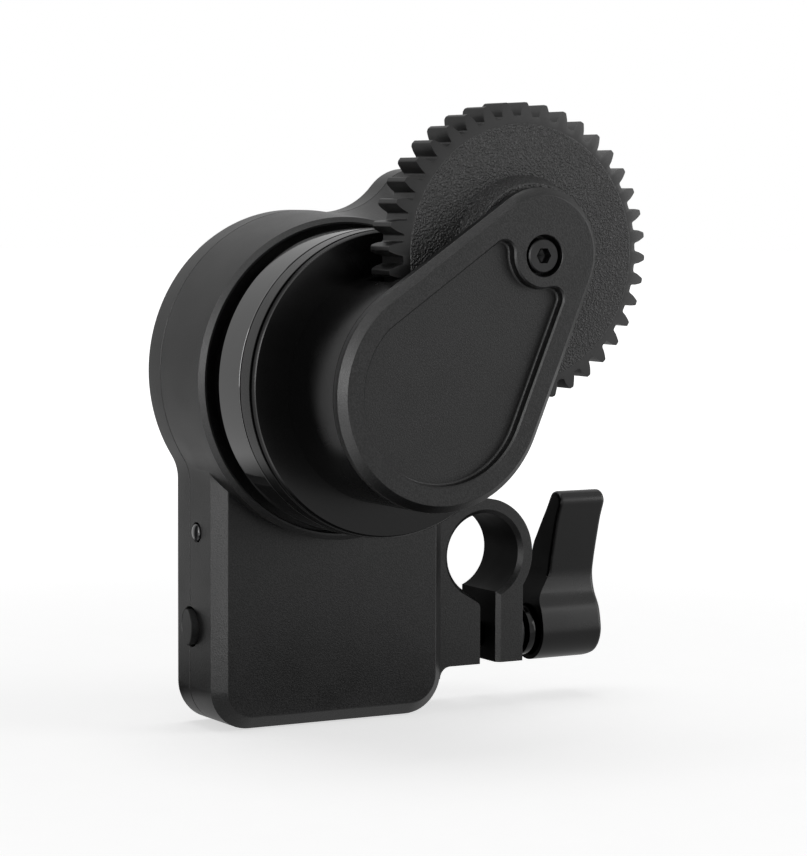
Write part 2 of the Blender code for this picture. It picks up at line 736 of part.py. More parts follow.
def box_cavity(front, back):
    """The hollow of the box."""
    outline = rounded_box(
        BOX_INNER_LEFT, BOX_INNER_RIGHT, BOARD_BOTTOM - SEAT, BOX_CAVITY_TOP, BOX_CORNER_RADIUS - BOX_WALL
    )
    return prism(outline, front, back)


def socket_channel(gap, inner, outer):
    """The channel of the control socket along the nose, or the socket's own block when the gap is zero."""
    half_height = SOCKET_HEIGHT / 2 + gap
    half_width = SOCKET_WIDTH / 2 + gap
    shape = block((inner, outer), (SOCKET_Y - half_width, SOCKET_Y + half_width), (-half_height, half_height))
    bmesh.ops.rotate(
        shape, verts=shape.verts, cent=(0.0, 0.0, 0.0), matrix=Matrix.Rotation(-socket_bearing(), 3, "Y")
    )
    return shape


def socket_bearing():
    """The direction of the nose from the drum axis."""
    return bearing(Vector((0.0, 0.0)), NOSE_CENTRE)


def button_hole():
    """The hole of the push button through the box's left wall."""
    outer = BOX_LEFT - OVERRUN
    return turned(rod(BUTTON_HOLE_RADIUS, outer, BOX_INNER_LEFT + OVERRUN), SMALL_ROUND_STEPS, "X")


# Housing

def head_fairing():
    """The head from its rear outline, nose included, to the front collar's circle."""
    outline = head_outline()
    shape = prism(without_doubles(outline), COLLAR_FRONT, PARTING_Y - SEAM / 2)
    for vert in shape.verts:
        if abs(vert.co.y - COLLAR_FRONT) < WELD:
            direction = Vector((vert.co.x, vert.co.z)).normalized() * COLLAR_RADIUS
            vert.co = (direction.x, COLLAR_FRONT, direction.y)
    return chamfered(shape, COLLAR_CHAMFER, in_plane(COLLAR_FRONT))


def clamp_block():
    """The rod clamp, with chamfers round the bore and along the slot's right edge."""
    shape = prism(clamp_outline(BOX_RIGHT - CLAMP_ROOT_DEPTH), CLAMP_FRONT, BOX_DEPTH)

    def round_the_bore(edge):
        if abs(edge.verts[0].co.y - edge.verts[1].co.y) > WELD:
            return False
        reaches = [(Vector((vert.co.x, vert.co.z)) - ROD_CENTRE).length for vert in edge.verts]
        on_bore = all(abs(reach - ROD_BORE_RADIUS) < WELD for reach in reaches)
        on_ear = all(abs(vert.co.x - SLOT_RIGHT) < WELD for vert in edge.verts)
        return on_bore or on_ear

    return chamfered(shape, ROD_BORE_CHAMFER, round_the_bore)


def front_shell(finish, frame):
    """The front of the housing, with the head, the collar and the rod clamp in one piece."""
    box, _, _ = box_lower_points()
    shell = piece("front_shell", head_fairing(), finish, frame)
    box_front = prism(without_doubles(box), 0.0, PARTING_Y - SEAM / 2)
    join(shell, chamfered(box_front, BOX_FRONT_CHAMFER, in_plane(0.0)))
    join(shell, clamp_block())
    head_hollow = [
        (0.0, COLLAR_FRONT - OVERRUN),
        (COLLAR_BORE_RADIUS, COLLAR_FRONT - OVERRUN),
        (COLLAR_BORE_RADIUS, HEAD_WALL_FRONT),
        (SWIVEL_BORE_RADIUS, HEAD_WALL_FRONT),
        (SWIVEL_BORE_RADIUS, HEAD_WALL_BACK),
        (MOTOR_CAVITY_RADIUS, HEAD_WALL_BACK),
        (MOTOR_CAVITY_RADIUS, PARTING_Y + OVERRUN),
        (0.0, PARTING_Y + OVERRUN),
    ]
    cut(shell, turned(head_hollow, ROUND_STEPS))
    cut(shell, box_cavity(BOX_WALL, PARTING_Y + OVERRUN))
    cut(shell, button_hole(), (0.0, PARTING_Y, BUTTON_Z))
    indicator_hole = rod(INDICATOR_RADIUS + FIT, BOX_LEFT - OVERRUN, BOX_INNER_LEFT + OVERRUN)
    cut(shell, turned(indicator_hole, SMALL_ROUND_STEPS, "X"), (0.0, INDICATOR_Y, INDICATOR_Z))
    cut(shell, socket_channel(FIT, MOTOR_CAVITY_RADIUS - OVERRUN, NOSE_CENTRE.length + NOSE_RADIUS + OVERRUN))
    for place in cover_screw_places():
        cut(shell, turned(cover_screw_hole(), SMALL_ROUND_STEPS), (place.x, 0.0, place.y))
    ear_hole = rod(SCREW_HOLE_RADIUS, SLOT_LEFT + SCREW_HOLE_RADIUS / 2, EAR_RIGHT + OVERRUN)
    cut(shell, turned(ear_hole, SMALL_ROUND_STEPS, "X"), (0.0, SCREW_Y, SCREW_Z))
    insert_hole = rod(INSERT_RADIUS + FIT, SLOT_LEFT - INSERT_LENGTH - SEAT, SLOT_LEFT + FIT)
    cut(shell, turned(insert_hole, SMALL_ROUND_STEPS, "X"), (0.0, SCREW_Y, SCREW_Z))
    return shell


def rear_cover(finish, frame):
    """The lid of the housing, with the motor's rear bearing seat."""
    front = PARTING_Y + SEAM / 2
    plate = prism(housing_outline(), front, BOX_DEPTH)
    lid = piece("rear_cover", chamfered(plate, COVER_EDGE_CHAMFER, in_plane(BOX_DEPTH)), finish, frame)
    notch = clamp_outline(BOX_RIGHT - CLAMP_ROOT_DEPTH - SEAT)
    lower = min(point.y for point in notch) - SEAT
    upper = max(point.y for point in notch if point.x < BOX_RIGHT) + SEAT
    cut(lid, block((notch[0].x, ROD_X), (front - OVERRUN, BOX_DEPTH + OVERRUN), (lower, upper)))
    cut(lid, box_cavity(front - OVERRUN, COVER_INSIDE))
    cut(lid, turned(rod(MOTOR_CAVITY_RADIUS, front - OVERRUN, COVER_INSIDE), ROUND_STEPS))
    join(lid, turned(rod(BEARING_BOSS_RADIUS, REAR_BEARING_FRONT, COVER_INSIDE + FIT), ROUND_STEPS // 2))
    bearing_end = REAR_BEARING_FRONT + BEARING_THICKNESS + SEAT / 2
    cut(lid, turned(rod(BEARING_RADIUS + FIT, REAR_BEARING_FRONT - OVERRUN, bearing_end), ROUND_STEPS // 2))
    cut(lid, button_hole(), (0.0, PARTING_Y, BUTTON_Z))
    cut(lid, socket_channel(FIT, MOTOR_CAVITY_RADIUS - OVERRUN, NOSE_CENTRE.length + NOSE_RADIUS + OVERRUN))
    for place in cover_screw_places():
        cut(lid, turned(cover_screw_hole(), SMALL_ROUND_STEPS), (place.x, 0.0, place.y))
    return lid


def cover_screws(finish, frame):
    """The countersunk screws that hold the rear cover."""
    face = BOX_DEPTH - SEAT
    for index, place in enumerate(cover_screw_places(), start=1):
        screw = turned(cover_screw_profile(), SMALL_ROUND_STEPS)
        made = piece(f"cover_screw_{index}", screw, finish, frame, (place.x, 0.0, place.y))
        socket = rod(COVER_SCREW_SOCKET_RADIUS, face - COVER_SCREW_SOCKET_DEPTH, face + OVERRUN)
        cut(made, turned(socket, HEXAGON_SIDES), (place.x, 0.0, place.y))


# Electronics, button and indicator

def circuit_board(finish, frame):
    """The main board across the box."""
    corner = BOX_CORNER_RADIUS - BOX_WALL
    outline = rounded_box(BOARD_LEFT, BOX_INNER_RIGHT - SEAT, BOARD_BOTTOM, BOARD_TOP, corner)
    shape = prism(outline, BOARD_FRONT, BOARD_FRONT + BOARD_THICKNESS)
    return piece("circuit_board", shape, finish, frame)


def driver_chip(finish, frame):
    """The motor driver on the front of the board."""
    half = CHIP_SIZE / 2
    back = BOARD_FRONT - SEAT
    x_range = (CHIP_X - half, CHIP_X + half)
    z_range = (CHIP_Z - half, CHIP_Z + half)
    shape = block(x_range, (back - CHIP_THICKNESS, back), z_range)
    return piece("driver_chip", shape, finish, frame)


def button_flange_left():
    """The left face of the button's flange at rest."""
    return BOX_INNER_LEFT + SEAT


def button_switch(finish, frame):
    """The small switch that the button presses."""
    left = button_flange_left() + BUTTON_FLANGE_THICKNESS + BUTTON_TRAVEL + SWITCH_GAP
    front = BOARD_FRONT + BOARD_THICKNESS + SEAT
    half = SWITCH_SIZE / 2
    z_range = (BUTTON_Z - half, BUTTON_Z + half)
    shape = block((left, left + SWITCH_SIZE), (front, front + SWITCH_THICKNESS), z_range)
    return piece("button_switch", shape, finish, frame)


def push_button(finish, frame):
    """The round button in the left wall, with the flange that keeps it in."""
    slide = pivot("button_slide", frame, (BOX_LEFT, PARTING_Y, BUTTON_Z))
    chamfer = BUTTON_EDGE_CHAMFER
    inner = BOX_INNER_LEFT - BOX_LEFT + SEAT
    profile = [
        (0.0, -BUTTON_PROUD),
        (BUTTON_RADIUS - chamfer, -BUTTON_PROUD),
        (BUTTON_RADIUS, chamfer - BUTTON_PROUD),
        (BUTTON_RADIUS, inner + FIT),
        (0.0, inner + FIT),
    ]
    button = piece("push_button", turned(profile, SMALL_ROUND_STEPS * 2, "X"), finish, slide)
    half_depth = BUTTON_FLANGE_DEPTH / 2
    half_height = BUTTON_FLANGE_HEIGHT / 2
    x_range = (inner, inner + BUTTON_FLANGE_THICKNESS)
    join(button, block(x_range, (-half_depth, half_depth), (-half_height, half_height)))
    return button


def indicator_lens(finish, frame):
    """The small domed light window in the left wall."""
    steps = CORNER_STEPS // 2
    dome = []
    for step in range(steps + 1):
        angle = QUARTER_TURN * step / steps
        dome.append((INDICATOR_RADIUS * math.sin(angle), BOX_LEFT - INDICATOR_PROUD * math.cos(angle)))
    dome[0] = (0.0, BOX_LEFT - INDICATOR_PROUD)
    inner = BOX_INNER_LEFT + INDICATOR_INSIDE
    profile = dome + [(INDICATOR_RADIUS, inner), (0.0, inner)]
    shape = turned(profile, SMALL_ROUND_STEPS, "X")
    return piece("indicator_lens", shape, finish, frame, (0.0, INDICATOR_Y, INDICATOR_Z))


def control_socket(finish, frame):
    """The connector in the nose that brings power and control, with a tongue in its mouth."""
    socket = piece("control_socket", socket_channel(0.0, SOCKET_INNER_END, SOCKET_MOUTH), finish, frame)
    base = SOCKET_INNER_END + SOCKET_HEIGHT / 2
    hollow = socket_channel(-SOCKET_WALL, base, SOCKET_MOUTH + OVERRUN)
    cut(socket, hollow)
    half_tongue = SOCKET_TONGUE / 2
    half_width = SOCKET_WIDTH / 2 - SOCKET_HEIGHT / 2
    tongue = block(
        (base - SOCKET_WALL, SOCKET_MOUTH - SOCKET_TONGUE),
        (SOCKET_Y - half_width, SOCKET_Y + half_width),
        (-half_tongue, half_tongue),
    )
    bmesh.ops.rotate(
        tongue, verts=tongue.verts, cent=(0.0, 0.0, 0.0), matrix=Matrix.Rotation(-socket_bearing(), 3, "Y")
    )
    join(socket, tongue)
    return socket


def encoder_board(finish, frame):
    """The ring-shaped board that reads the motor's position."""
    back = COVER_INSIDE - SEAT
    profile = ring(BEARING_BOSS_RADIUS + SEAT, ENCODER_BOARD_RADIUS, back - ENCODER_BOARD_THICKNESS, back)
    return piece("encoder_board", turned(profile, ROUND_STEPS // 2), finish, frame)


# Motor

def motor_stator(finish, frame):
    """The wound ring that stands still in the head."""
    outer = MOTOR_CAVITY_RADIUS - SEAT
    profile = ring(STATOR_INNER_RADIUS, outer, STATOR_FRONT, STATOR_FRONT + STATOR_THICKNESS)
    return piece("motor_stator", turned(profile, ROUND_STEPS), finish, frame)


def bearing_profile(front):
    """The profile of a small ball bearing."""
    return ring(SHAFT_RADIUS + FIT, BEARING_RADIUS, front, front + BEARING_THICKNESS)


def rear_bearing(finish, frame):
    """The bearing in the rear cover."""
    shape = turned(bearing_profile(REAR_BEARING_FRONT), SMALL_ROUND_STEPS)
    return piece("rear_bearing", shape, finish, frame)


def rotor_parts(steel, magnet, frame):
    """What turns with the motor's shaft: the shaft, the rotor and its magnets, and the pinion."""
    axis = pivot("rotor_axis", frame, (0.0, 0.0, 0.0))
    piece("motor_shaft", turned(rod(SHAFT_RADIUS, SHAFT_FRONT, SHAFT_BACK), SMALL_ROUND_STEPS), steel, axis)
    back = STATOR_FRONT + STATOR_THICKNESS
    core = ring(SHAFT_RADIUS + FIT, MAGNET_INNER_RADIUS - FIT, STATOR_FRONT, back)
    piece("rotor_core", turned(core, ROUND_STEPS // 2), steel, axis)
    magnets = ring(MAGNET_INNER_RADIUS, MAGNET_RADIUS, STATOR_FRONT, back)
    piece("rotor_magnet", turned(magnets, ROUND_STEPS // 2), magnet, axis)
    start = back + SEAT
    encoder = ring(SHAFT_RADIUS + FIT, ENCODER_MAGNET_RADIUS, start, start + ENCODER_MAGNET_THICKNESS)
    piece("encoder_magnet", turned(encoder, SMALL_ROUND_STEPS), magnet, axis)
    pinion = prism(pinion_outline(), GEAR_SLOT_FRONT + FIT, GEAR_SLOT_BACK - FIT)
    made = piece("drive_pinion", pinion, steel, axis)
    bore = rod(SHAFT_RADIUS + FIT, GEAR_SLOT_FRONT - OVERRUN, GEAR_SLOT_BACK + OVERRUN)
    cut(made, turned(bore, SMALL_ROUND_STEPS))


# Arm

def base_screw_places():
    """Where the screws that hold the hub to the arm's base stand."""
    centre = Vector((0.0, 0.0))
    return [
        polar(centre, BASE_SCREW_CIRCLE_RADIUS, BASE_SCREW_START + TURN * index / BASE_SCREW_COUNT)
        for index in range(BASE_SCREW_COUNT)
    ]


def shoulder_back():
    """The rear face of the arm base's shoulder, in front of the friction washer."""
    return HEAD_WALL_FRONT - SEAT - FRICTION_WASHER_THICKNESS - SEAT


def arm_base(finish, frame):
    """The rear of the arm: the swivel neck that turns in the head and the core of the drum."""
    neck = SWIVEL_BORE_RADIUS - RUN
    groove = neck - CLIP_GROOVE_DEPTH
    clip = HEAD_WALL_BACK + SEAT
    core_front = DRUM_RING_FRONT - DRUM_SEAM + SEAT
    profile = [
        (SHAFT_TUNNEL_RADIUS, core_front),
        (DRUM_CORE_RADIUS, core_front),
        (DRUM_CORE_RADIUS, DRUM_BACK + SEAT),
        (DRUM_SHOULDER_RADIUS, DRUM_BACK + SEAT),
        (DRUM_SHOULDER_RADIUS, shoulder_back()),
        (neck, shoulder_back()),
        (neck, clip - FIT),
        (groove, clip - FIT),
        (groove, clip + CLIP_THICKNESS + FIT),
        (neck, clip + CLIP_THICKNESS + FIT),
        (neck, SWIVEL_END),
        (SHAFT_TUNNEL_RADIUS, SWIVEL_END),
    ]
    base = piece("arm_base", turned(profile, ROUND_STEPS), finish, frame)
    for place in base_screw_places():
        cut(base, turned(base_screw_hole(), SMALL_ROUND_STEPS), (place.x, 0.0, place.y))
    return base


def base_screw_head_back():
    """The rear face of the heads of the screws in the arm's base."""
    return shoulder_back() - SEAT


def base_screw_hole():
    """The stepped hole of a screw in the arm's base, as far as into the hub's disc."""
    head = BASE_SCREW_HEAD_RADIUS + FIT
    step = base_screw_head_back() - BASE_SCREW_HEAD_HEIGHT - FIT
    tip = base_screw_head_back() - BASE_SCREW_HEAD_HEIGHT - BASE_SCREW_LENGTH - SEAT
    shank = BASE_SCREW_RADIUS + FIT
    end = SWIVEL_END + OVERRUN
    return [(0.0, tip), (shank, tip), (shank, step), (head, step), (head, end), (0.0, end)]


def base_screws(finish, frame):
    """The screws that hold the hub to the arm's base."""
    back = base_screw_head_back()
    step = back - BASE_SCREW_HEAD_HEIGHT
    tip = step - BASE_SCREW_LENGTH
    head = BASE_SCREW_HEAD_RADIUS
    shank = BASE_SCREW_RADIUS
    profile = [(0.0, tip), (shank, tip), (shank, step), (head, step), (head, back), (0.0, back)]
    for index, place in enumerate(base_screw_places(), start=1):
        screw = turned(profile, SMALL_ROUND_STEPS)
        piece(f"base_screw_{index}", screw, finish, frame, (place.x, 0.0, place.y))


def retaining_clip(finish, frame):
    """The ring in the neck's groove that keeps the arm in the head."""
    clip = HEAD_WALL_BACK + SEAT
    groove = SWIVEL_BORE_RADIUS - RUN - CLIP_GROOVE_DEPTH
    profile = ring(groove + FIT, CLIP_RADIUS, clip, clip + CLIP_THICKNESS)
    return piece("retaining_clip", turned(profile, ROUND_STEPS), finish, frame)


def friction_washer(finish, frame):
    """The washer that gives the arm its drag."""
    back = HEAD_WALL_FRONT - SEAT
    profile = ring(SWIVEL_BORE_RADIUS + FIT, FRICTION_WASHER_RADIUS, back - FRICTION_WASHER_THICKNESS, back)
    return piece("friction_washer", turned(profile, ROUND_STEPS), finish, frame)


def drum_ring(finish, frame):
    """The satin band round the drum."""
    inner = DRUM_CORE_RADIUS + RUN
    profile = [
        (inner, DRUM_RING_FRONT),
        (DRUM_RADIUS, DRUM_RING_FRONT),
        (DRUM_RADIUS, DRUM_BACK - DRUM_BACK_CHAMFER),
        (DRUM_RADIUS - DRUM_BACK_CHAMFER / 2, DRUM_BACK),
        (inner, DRUM_BACK),
    ]
    return piece("drum_ring", turned(profile, ROUND_STEPS), finish, frame)


def arm_hub(finish, frame):
    """The front disc of the drum with the hub, cut away where the lens gear runs."""
    disc_back = DRUM_RING_FRONT - DRUM_SEAM
    fillet = []
    for step in range(HUB_FILLET_STEPS + 1):
        angle = QUARTER_TURN * step / HUB_FILLET_STEPS
        out = HUB_RADIUS + HUB_FILLET_RADIUS * (1 - math.sin(angle))
        fillet.append((out, DISC_FRONT - HUB_FILLET_RADIUS * (1 - math.cos(angle))))
    disc = [
        (0.0, DISC_FRONT),
        (RIM_RADIUS, DISC_FRONT),
        (DISC_RADIUS, GROOVE_FRONT),
        (RIM_RADIUS, GROOVE_FRONT),
        (RIM_RADIUS, GROOVE_BACK),
        (DISC_RADIUS, GROOVE_BACK),
        (DISC_RADIUS, disc_back),
        (0.0, disc_back),
    ]
    post = [(0.0, HUB_FRONT), (HUB_RADIUS, HUB_FRONT)] + list(reversed(fillet))
    post += [(HUB_RADIUS + HUB_FILLET_RADIUS, DISC_FRONT + HUB_SINK), (0.0, DISC_FRONT + HUB_SINK)]
    tunnel = [
        (0.0, HUB_FRONT - OVERRUN),
        (BEARING_RADIUS + FIT, HUB_FRONT - OVERRUN),
        (BEARING_RADIUS + FIT, GEAR_SLOT_FRONT),
        (PINION_TIP_RADIUS + SEAT, GEAR_SLOT_FRONT),
        (PINION_TIP_RADIUS + SEAT, GEAR_SLOT_BACK),
        (SHAFT_TUNNEL_RADIUS, GEAR_SLOT_BACK),
        (SHAFT_TUNNEL_RADIUS, disc_back + OVERRUN),
        (0.0, disc_back + OVERRUN),
    ]
    hub = piece("arm_hub", turned(disc, ROUND_STEPS), finish, frame)
    join(hub, turned(post, ROUND_STEPS), (HUB_CENTRE.x, 0.0, HUB_CENTRE.y))
    cut(hub, turned(tunnel, SMALL_ROUND_STEPS * 2))
    gear_place = (GEAR_CENTRE.x, 0.0, GEAR_CENTRE.y)
    slot = rod(GEAR_TIP_RADIUS + GEAR_SLOT_RADIAL_GAP, GEAR_SLOT_FRONT, GEAR_SLOT_BACK)
    cut(hub, turned(slot, ROUND_STEPS), gear_place)
    boss_room = rod(GEAR_BOSS_RADIUS + GEAR_SLOT_RADIAL_GAP, HUB_FRONT - OVERRUN, GEAR_SLOT_BACK)
    cut(hub, turned(boss_room, ROUND_STEPS // 2), gear_place)
    for place in base_screw_places():
        cut(hub, turned(base_screw_hole(), SMALL_ROUND_STEPS), (place.x, 0.0, place.y))
    return hub


def front_bearing_front():
    """The front face of the bearing in the hub."""
    return GEAR_SLOT_FRONT - FIT - BEARING_THICKNESS


def front_bearing(finish, frame):
    """The bearing in the hub's front wall."""
    shape = turned(bearing_profile(front_bearing_front()), SMALL_ROUND_STEPS)
    return piece("front_bearing", shape, finish, frame)


def arm_cover(finish, frame):
    """The teardrop plate on the arm, with its shallow pocket and the screw's counterbore."""
    outline = without_doubles(teardrop(HUB_RADIUS, ARM_TIP_RADIUS, HEAD_STEPS))
    plate = prism(outline, COVER_PLATE_FRONT, COVER_PLATE_BACK)
    chamfered(plate, COVER_PLATE_CHAMFER, in_plane(COVER_PLATE_FRONT))
    cover = piece("arm_cover", plate, finish, frame)
    gear_place = (GEAR_CENTRE.x, 0.0, GEAR_CENTRE.y)
    boss_back = COVER_PLATE_BACK + ARM_BOSS_LENGTH
    boss = rod(ARM_BOSS_RADIUS, COVER_PLATE_BACK - FIT, boss_back)
    join(cover, turned(boss, SMALL_ROUND_STEPS), gear_place)
    floor = COVER_PLATE_FRONT + POCKET_DEPTH
    cut(cover, prism(pocket_outline(), COVER_PLATE_FRONT - OVERRUN, floor))
    seat = COVER_PLATE_FRONT + ARM_SCREW_HEAD_HEIGHT + FIT
    bore = rod(ARM_SCREW_BORE_RADIUS, COVER_PLATE_FRONT - OVERRUN, seat)
    cut(cover, turned(bore, SMALL_ROUND_STEPS * 2), gear_place)
    hole = rod(ARM_SCREW_SHANK_RADIUS + FIT, seat - OVERRUN / 2, boss_back + OVERRUN)
    cut(cover, turned(hole, SMALL_ROUND_STEPS), gear_place)
    return cover


def pocket_outline():
    """The pocket in the cover: the teardrop drawn inwards, with a round bite in front of the screw."""
    margin = COVER_PLATE_CHAMFER + POCKET_MARGIN
    big = HUB_RADIUS - margin
    tip = ARM_TIP_RADIUS - margin
    right, left = tangent_angles(big, tip)
    right_side = (polar(HUB_CENTRE, big, right), polar(GEAR_CENTRE, tip, right))
    left_side = (polar(HUB_CENTRE, big, POCKET_SIDE_ANGLE), polar(GEAR_CENTRE, tip, left))
    right_corner, right_foot = pocket_corner(*right_side, 1)
    left_corner, left_foot = pocket_corner(*left_side, -1)
    corner = POCKET_CORNER_RADIUS
    points = arc(HUB_CENTRE, big, POCKET_SIDE_ANGLE, right, HEAD_STEPS)
    start = bearing(right_corner, right_foot)
    points += arc(right_corner, corner, start, bearing(right_corner, GEAR_CENTRE), CORNER_STEPS)
    start = bearing(GEAR_CENTRE, right_corner)
    end = bearing(GEAR_CENTRE, left_corner)
    points += arc(GEAR_CENTRE, POCKET_BITE_RADIUS, start, end, CORNER_STEPS, -1)
    start = bearing(left_corner, GEAR_CENTRE)
    points += arc(left_corner, corner, start, bearing(left_corner, left_foot), CORNER_STEPS)
    return without_doubles(points)


def pocket_corner(start, end, side):
    """The centre of the round corner between a pocket's side and the bite, and where it meets the side."""
    along = (end - start).normalized()
    inwards = Vector((-along.y, along.x)) * side
    shifted = start + inwards * POCKET_CORNER_RADIUS
    nearest = (GEAR_CENTRE - shifted).dot(along)
    off = (GEAR_CENTRE - shifted - along * nearest).length
    reach = POCKET_BITE_RADIUS + POCKET_CORNER_RADIUS
    centre = shifted + along * (nearest - math.sqrt(reach**2 - off**2))
    return centre, centre - inwards * POCKET_CORNER_RADIUS


def gear_axle(finish, frame):
    """The post that the lens gear turns on, screwed to the cover from the front."""
    front = COVER_PLATE_BACK + ARM_BOSS_LENGTH + SEAT
    step = GEAR_BACK + SEAT
    back = step + AXLE_FLANGE_THICKNESS
    profile = [
        (0.0, front),
        (AXLE_RADIUS, front),
        (AXLE_RADIUS, step),
        (AXLE_FLANGE_RADIUS, step),
        (AXLE_FLANGE_RADIUS, back),
        (0.0, back),
    ]
    place = (GEAR_CENTRE.x, 0.0, GEAR_CENTRE.y)
    axle = piece("gear_axle", turned(profile, SMALL_ROUND_STEPS * 2), finish, frame, place)
    tip = arm_screw_step() + ARM_SCREW_LENGTH + SEAT
    hole = rod(ARM_SCREW_SHANK_RADIUS + FIT, front - OVERRUN, tip)
    cut(axle, turned(hole, SMALL_ROUND_STEPS), place)
    return axle


def arm_screw_step():
    """The underside of the axle screw's head."""
    return COVER_PLATE_FRONT + ARM_SCREW_HEAD_HEIGHT


def axle_screw(finish, frame):
    """The hexagon socket screw that shows in the cover."""
    face = COVER_PLATE_FRONT
    step = arm_screw_step()
    tip = step + ARM_SCREW_LENGTH
    profile = [
        (0.0, face),
        (ARM_SCREW_HEAD_RADIUS - FIT, face),
        (ARM_SCREW_HEAD_RADIUS, face + FIT),
        (ARM_SCREW_HEAD_RADIUS, step),
        (ARM_SCREW_SHANK_RADIUS, step),
        (ARM_SCREW_SHANK_RADIUS, tip),
        (0.0, tip),
    ]
    place = (GEAR_CENTRE.x, 0.0, GEAR_CENTRE.y)
    screw = piece("axle_screw", turned(profile, SMALL_ROUND_STEPS * 2), finish, frame, place)
    socket = rod(ARM_SCREW_SOCKET_RADIUS, face - OVERRUN, face + ARM_SCREW_SOCKET_DEPTH)
    cut(screw, turned(socket, HEXAGON_SIDES), place)
    return screw


# Lens gear

def lens_gear(finish, frame):
    """The toothed wheel, with bevelled tooth ends, a boss and a bore for its bushes."""
    gear = piece("lens_gear", prism(gear_outline(), GEAR_FRONT, GEAR_BACK), finish, frame)
    outside = GEAR_TIP_RADIUS + OVERRUN
    slope = (GEAR_TIP_FRONT - GEAR_FRONT) / (GEAR_TIP_RADIUS - GEAR_FACE_RADIUS)
    trimmed = [
        (0.0, GEAR_FRONT - OVERRUN),
        (GEAR_FACE_RADIUS, GEAR_FRONT - OVERRUN),
        (GEAR_FACE_RADIUS, GEAR_FRONT),
        (outside, GEAR_FRONT + slope * (outside - GEAR_FACE_RADIUS)),
        (outside, GEAR_BACK - GEAR_BACK_CHAMFER - OVERRUN),
        (GEAR_TIP_RADIUS - GEAR_BACK_CHAMFER - OVERRUN, GEAR_BACK + OVERRUN),
        (0.0, GEAR_BACK + OVERRUN),
    ]
    combine(gear, turned(trimmed, ROUND_STEPS), "INTERSECT")
    boss = [
        (0.0, GEAR_BOSS_FRONT),
        (GEAR_BOSS_FRONT_RADIUS, GEAR_BOSS_FRONT),
        (GEAR_BOSS_RADIUS, GEAR_FRONT),
        (GEAR_BOSS_RADIUS, GEAR_FRONT + FIT),
        (0.0, GEAR_FRONT + FIT),
    ]
    join(gear, turned(boss, ROUND_STEPS // 2))
    cut(gear, turned(rod(GEAR_BORE_RADIUS, GEAR_BOSS_FRONT - OVERRUN, GEAR_BACK + OVERRUN), ROUND_STEPS // 2))
    recess_end = GEAR_BOSS_FRONT + GEAR_RECESS_DEPTH
    cut(gear, turned(rod(GEAR_RECESS_RADIUS, GEAR_BOSS_FRONT - OVERRUN, recess_end), ROUND_STEPS // 2))
    return gear


def gear_bushes(finish, frame):
    """The two bushes pressed into the lens gear, which turn on the axle."""
    front_start = GEAR_BOSS_FRONT + GEAR_RECESS_DEPTH
    starts = {"gear_bush_front": front_start, "gear_bush_rear": GEAR_BACK - BUSH_LENGTH}
    for name, start in starts.items():
        profile = ring(AXLE_RADIUS + RUN, GEAR_BORE_RADIUS - FIT, start, start + BUSH_LENGTH)
        piece(name, turned(profile, ROUND_STEPS // 2), finish, frame)


# Clamp screw and lever

def thread_insert(finish, frame):
    """The threaded sleeve in the left half of the clamp."""
    profile = ring(SCREW_RADIUS + FIT, INSERT_RADIUS, SLOT_LEFT - INSERT_LENGTH, SLOT_LEFT - FIT)
    shape = turned(profile, SMALL_ROUND_STEPS, "X")
    return piece("thread_insert", shape, finish, frame, (0.0, SCREW_Y, SCREW_Z))


def thrust_washer(finish, frame):
    """The black washer between the clamp's ear and the screw's flange."""
    start = EAR_RIGHT + SEAT
    profile = ring(SCREW_RADIUS + RUN, WASHER_RADIUS, start, start + WASHER_THICKNESS)
    shape = turned(profile, SMALL_ROUND_STEPS * 2, "X")
    return piece("thrust_washer", shape, finish, frame, (0.0, SCREW_Y, SCREW_Z))


def clamp_screw(finish, frame):
    """The screw with its flange and the square-cut end that the lever drives."""
    profile = [
        (0.0, SCREW_END),
        (SCREW_RADIUS, SCREW_END),
        (SCREW_RADIUS, FLANGE_START),
        (FLANGE_RADIUS, FLANGE_START),
        (FLANGE_RADIUS, FLANGE_START + FLANGE_THICKNESS),
        (DRIVE_RADIUS, FLANGE_START + FLANGE_THICKNESS),
        (DRIVE_RADIUS, LEVER_LEFT + DRIVE_LENGTH),
        (0.0, LEVER_LEFT + DRIVE_LENGTH),
    ]
    return piece("clamp_screw", turned(profile, SMALL_ROUND_STEPS * 2, "X"), finish, frame)


def lever_side_outline():
    """The lever seen from its end: a round boss below and a wing above, as (y, z) from the screw's axis."""
    top = LEVER_TOP - SCREW_Z
    boss = LEVER_BOSS_RADIUS
    tip = LEVER_TIP_RADIUS
    tip_centre = Vector((LEVER_TIP_FRONT - SCREW_Y + tip, top - tip))
    waist_front = LEVER_WAIST_FRONT - SCREW_Y
    back = LEVER_BACK - SCREW_Y
    points = arc(Vector((0.0, 0.0)), boss, LEVER_BOSS_FROM, LEVER_BOSS_TO, HEAD_STEPS // 2)
    points.append(Vector((back, top * BACK_HEIGHT_SHARE)))
    points += arc(tip_centre, tip, LEVER_TIP_FROM, LEVER_TIP_TO, CORNER_STEPS)
    points += [Vector((tip_centre.x + tip * front, top * height)) for front, height in WING_FRONT_SHARES]
    points.append(Vector((waist_front, top * WAIST_HEIGHT_SHARE)))
    return without_doubles(points)


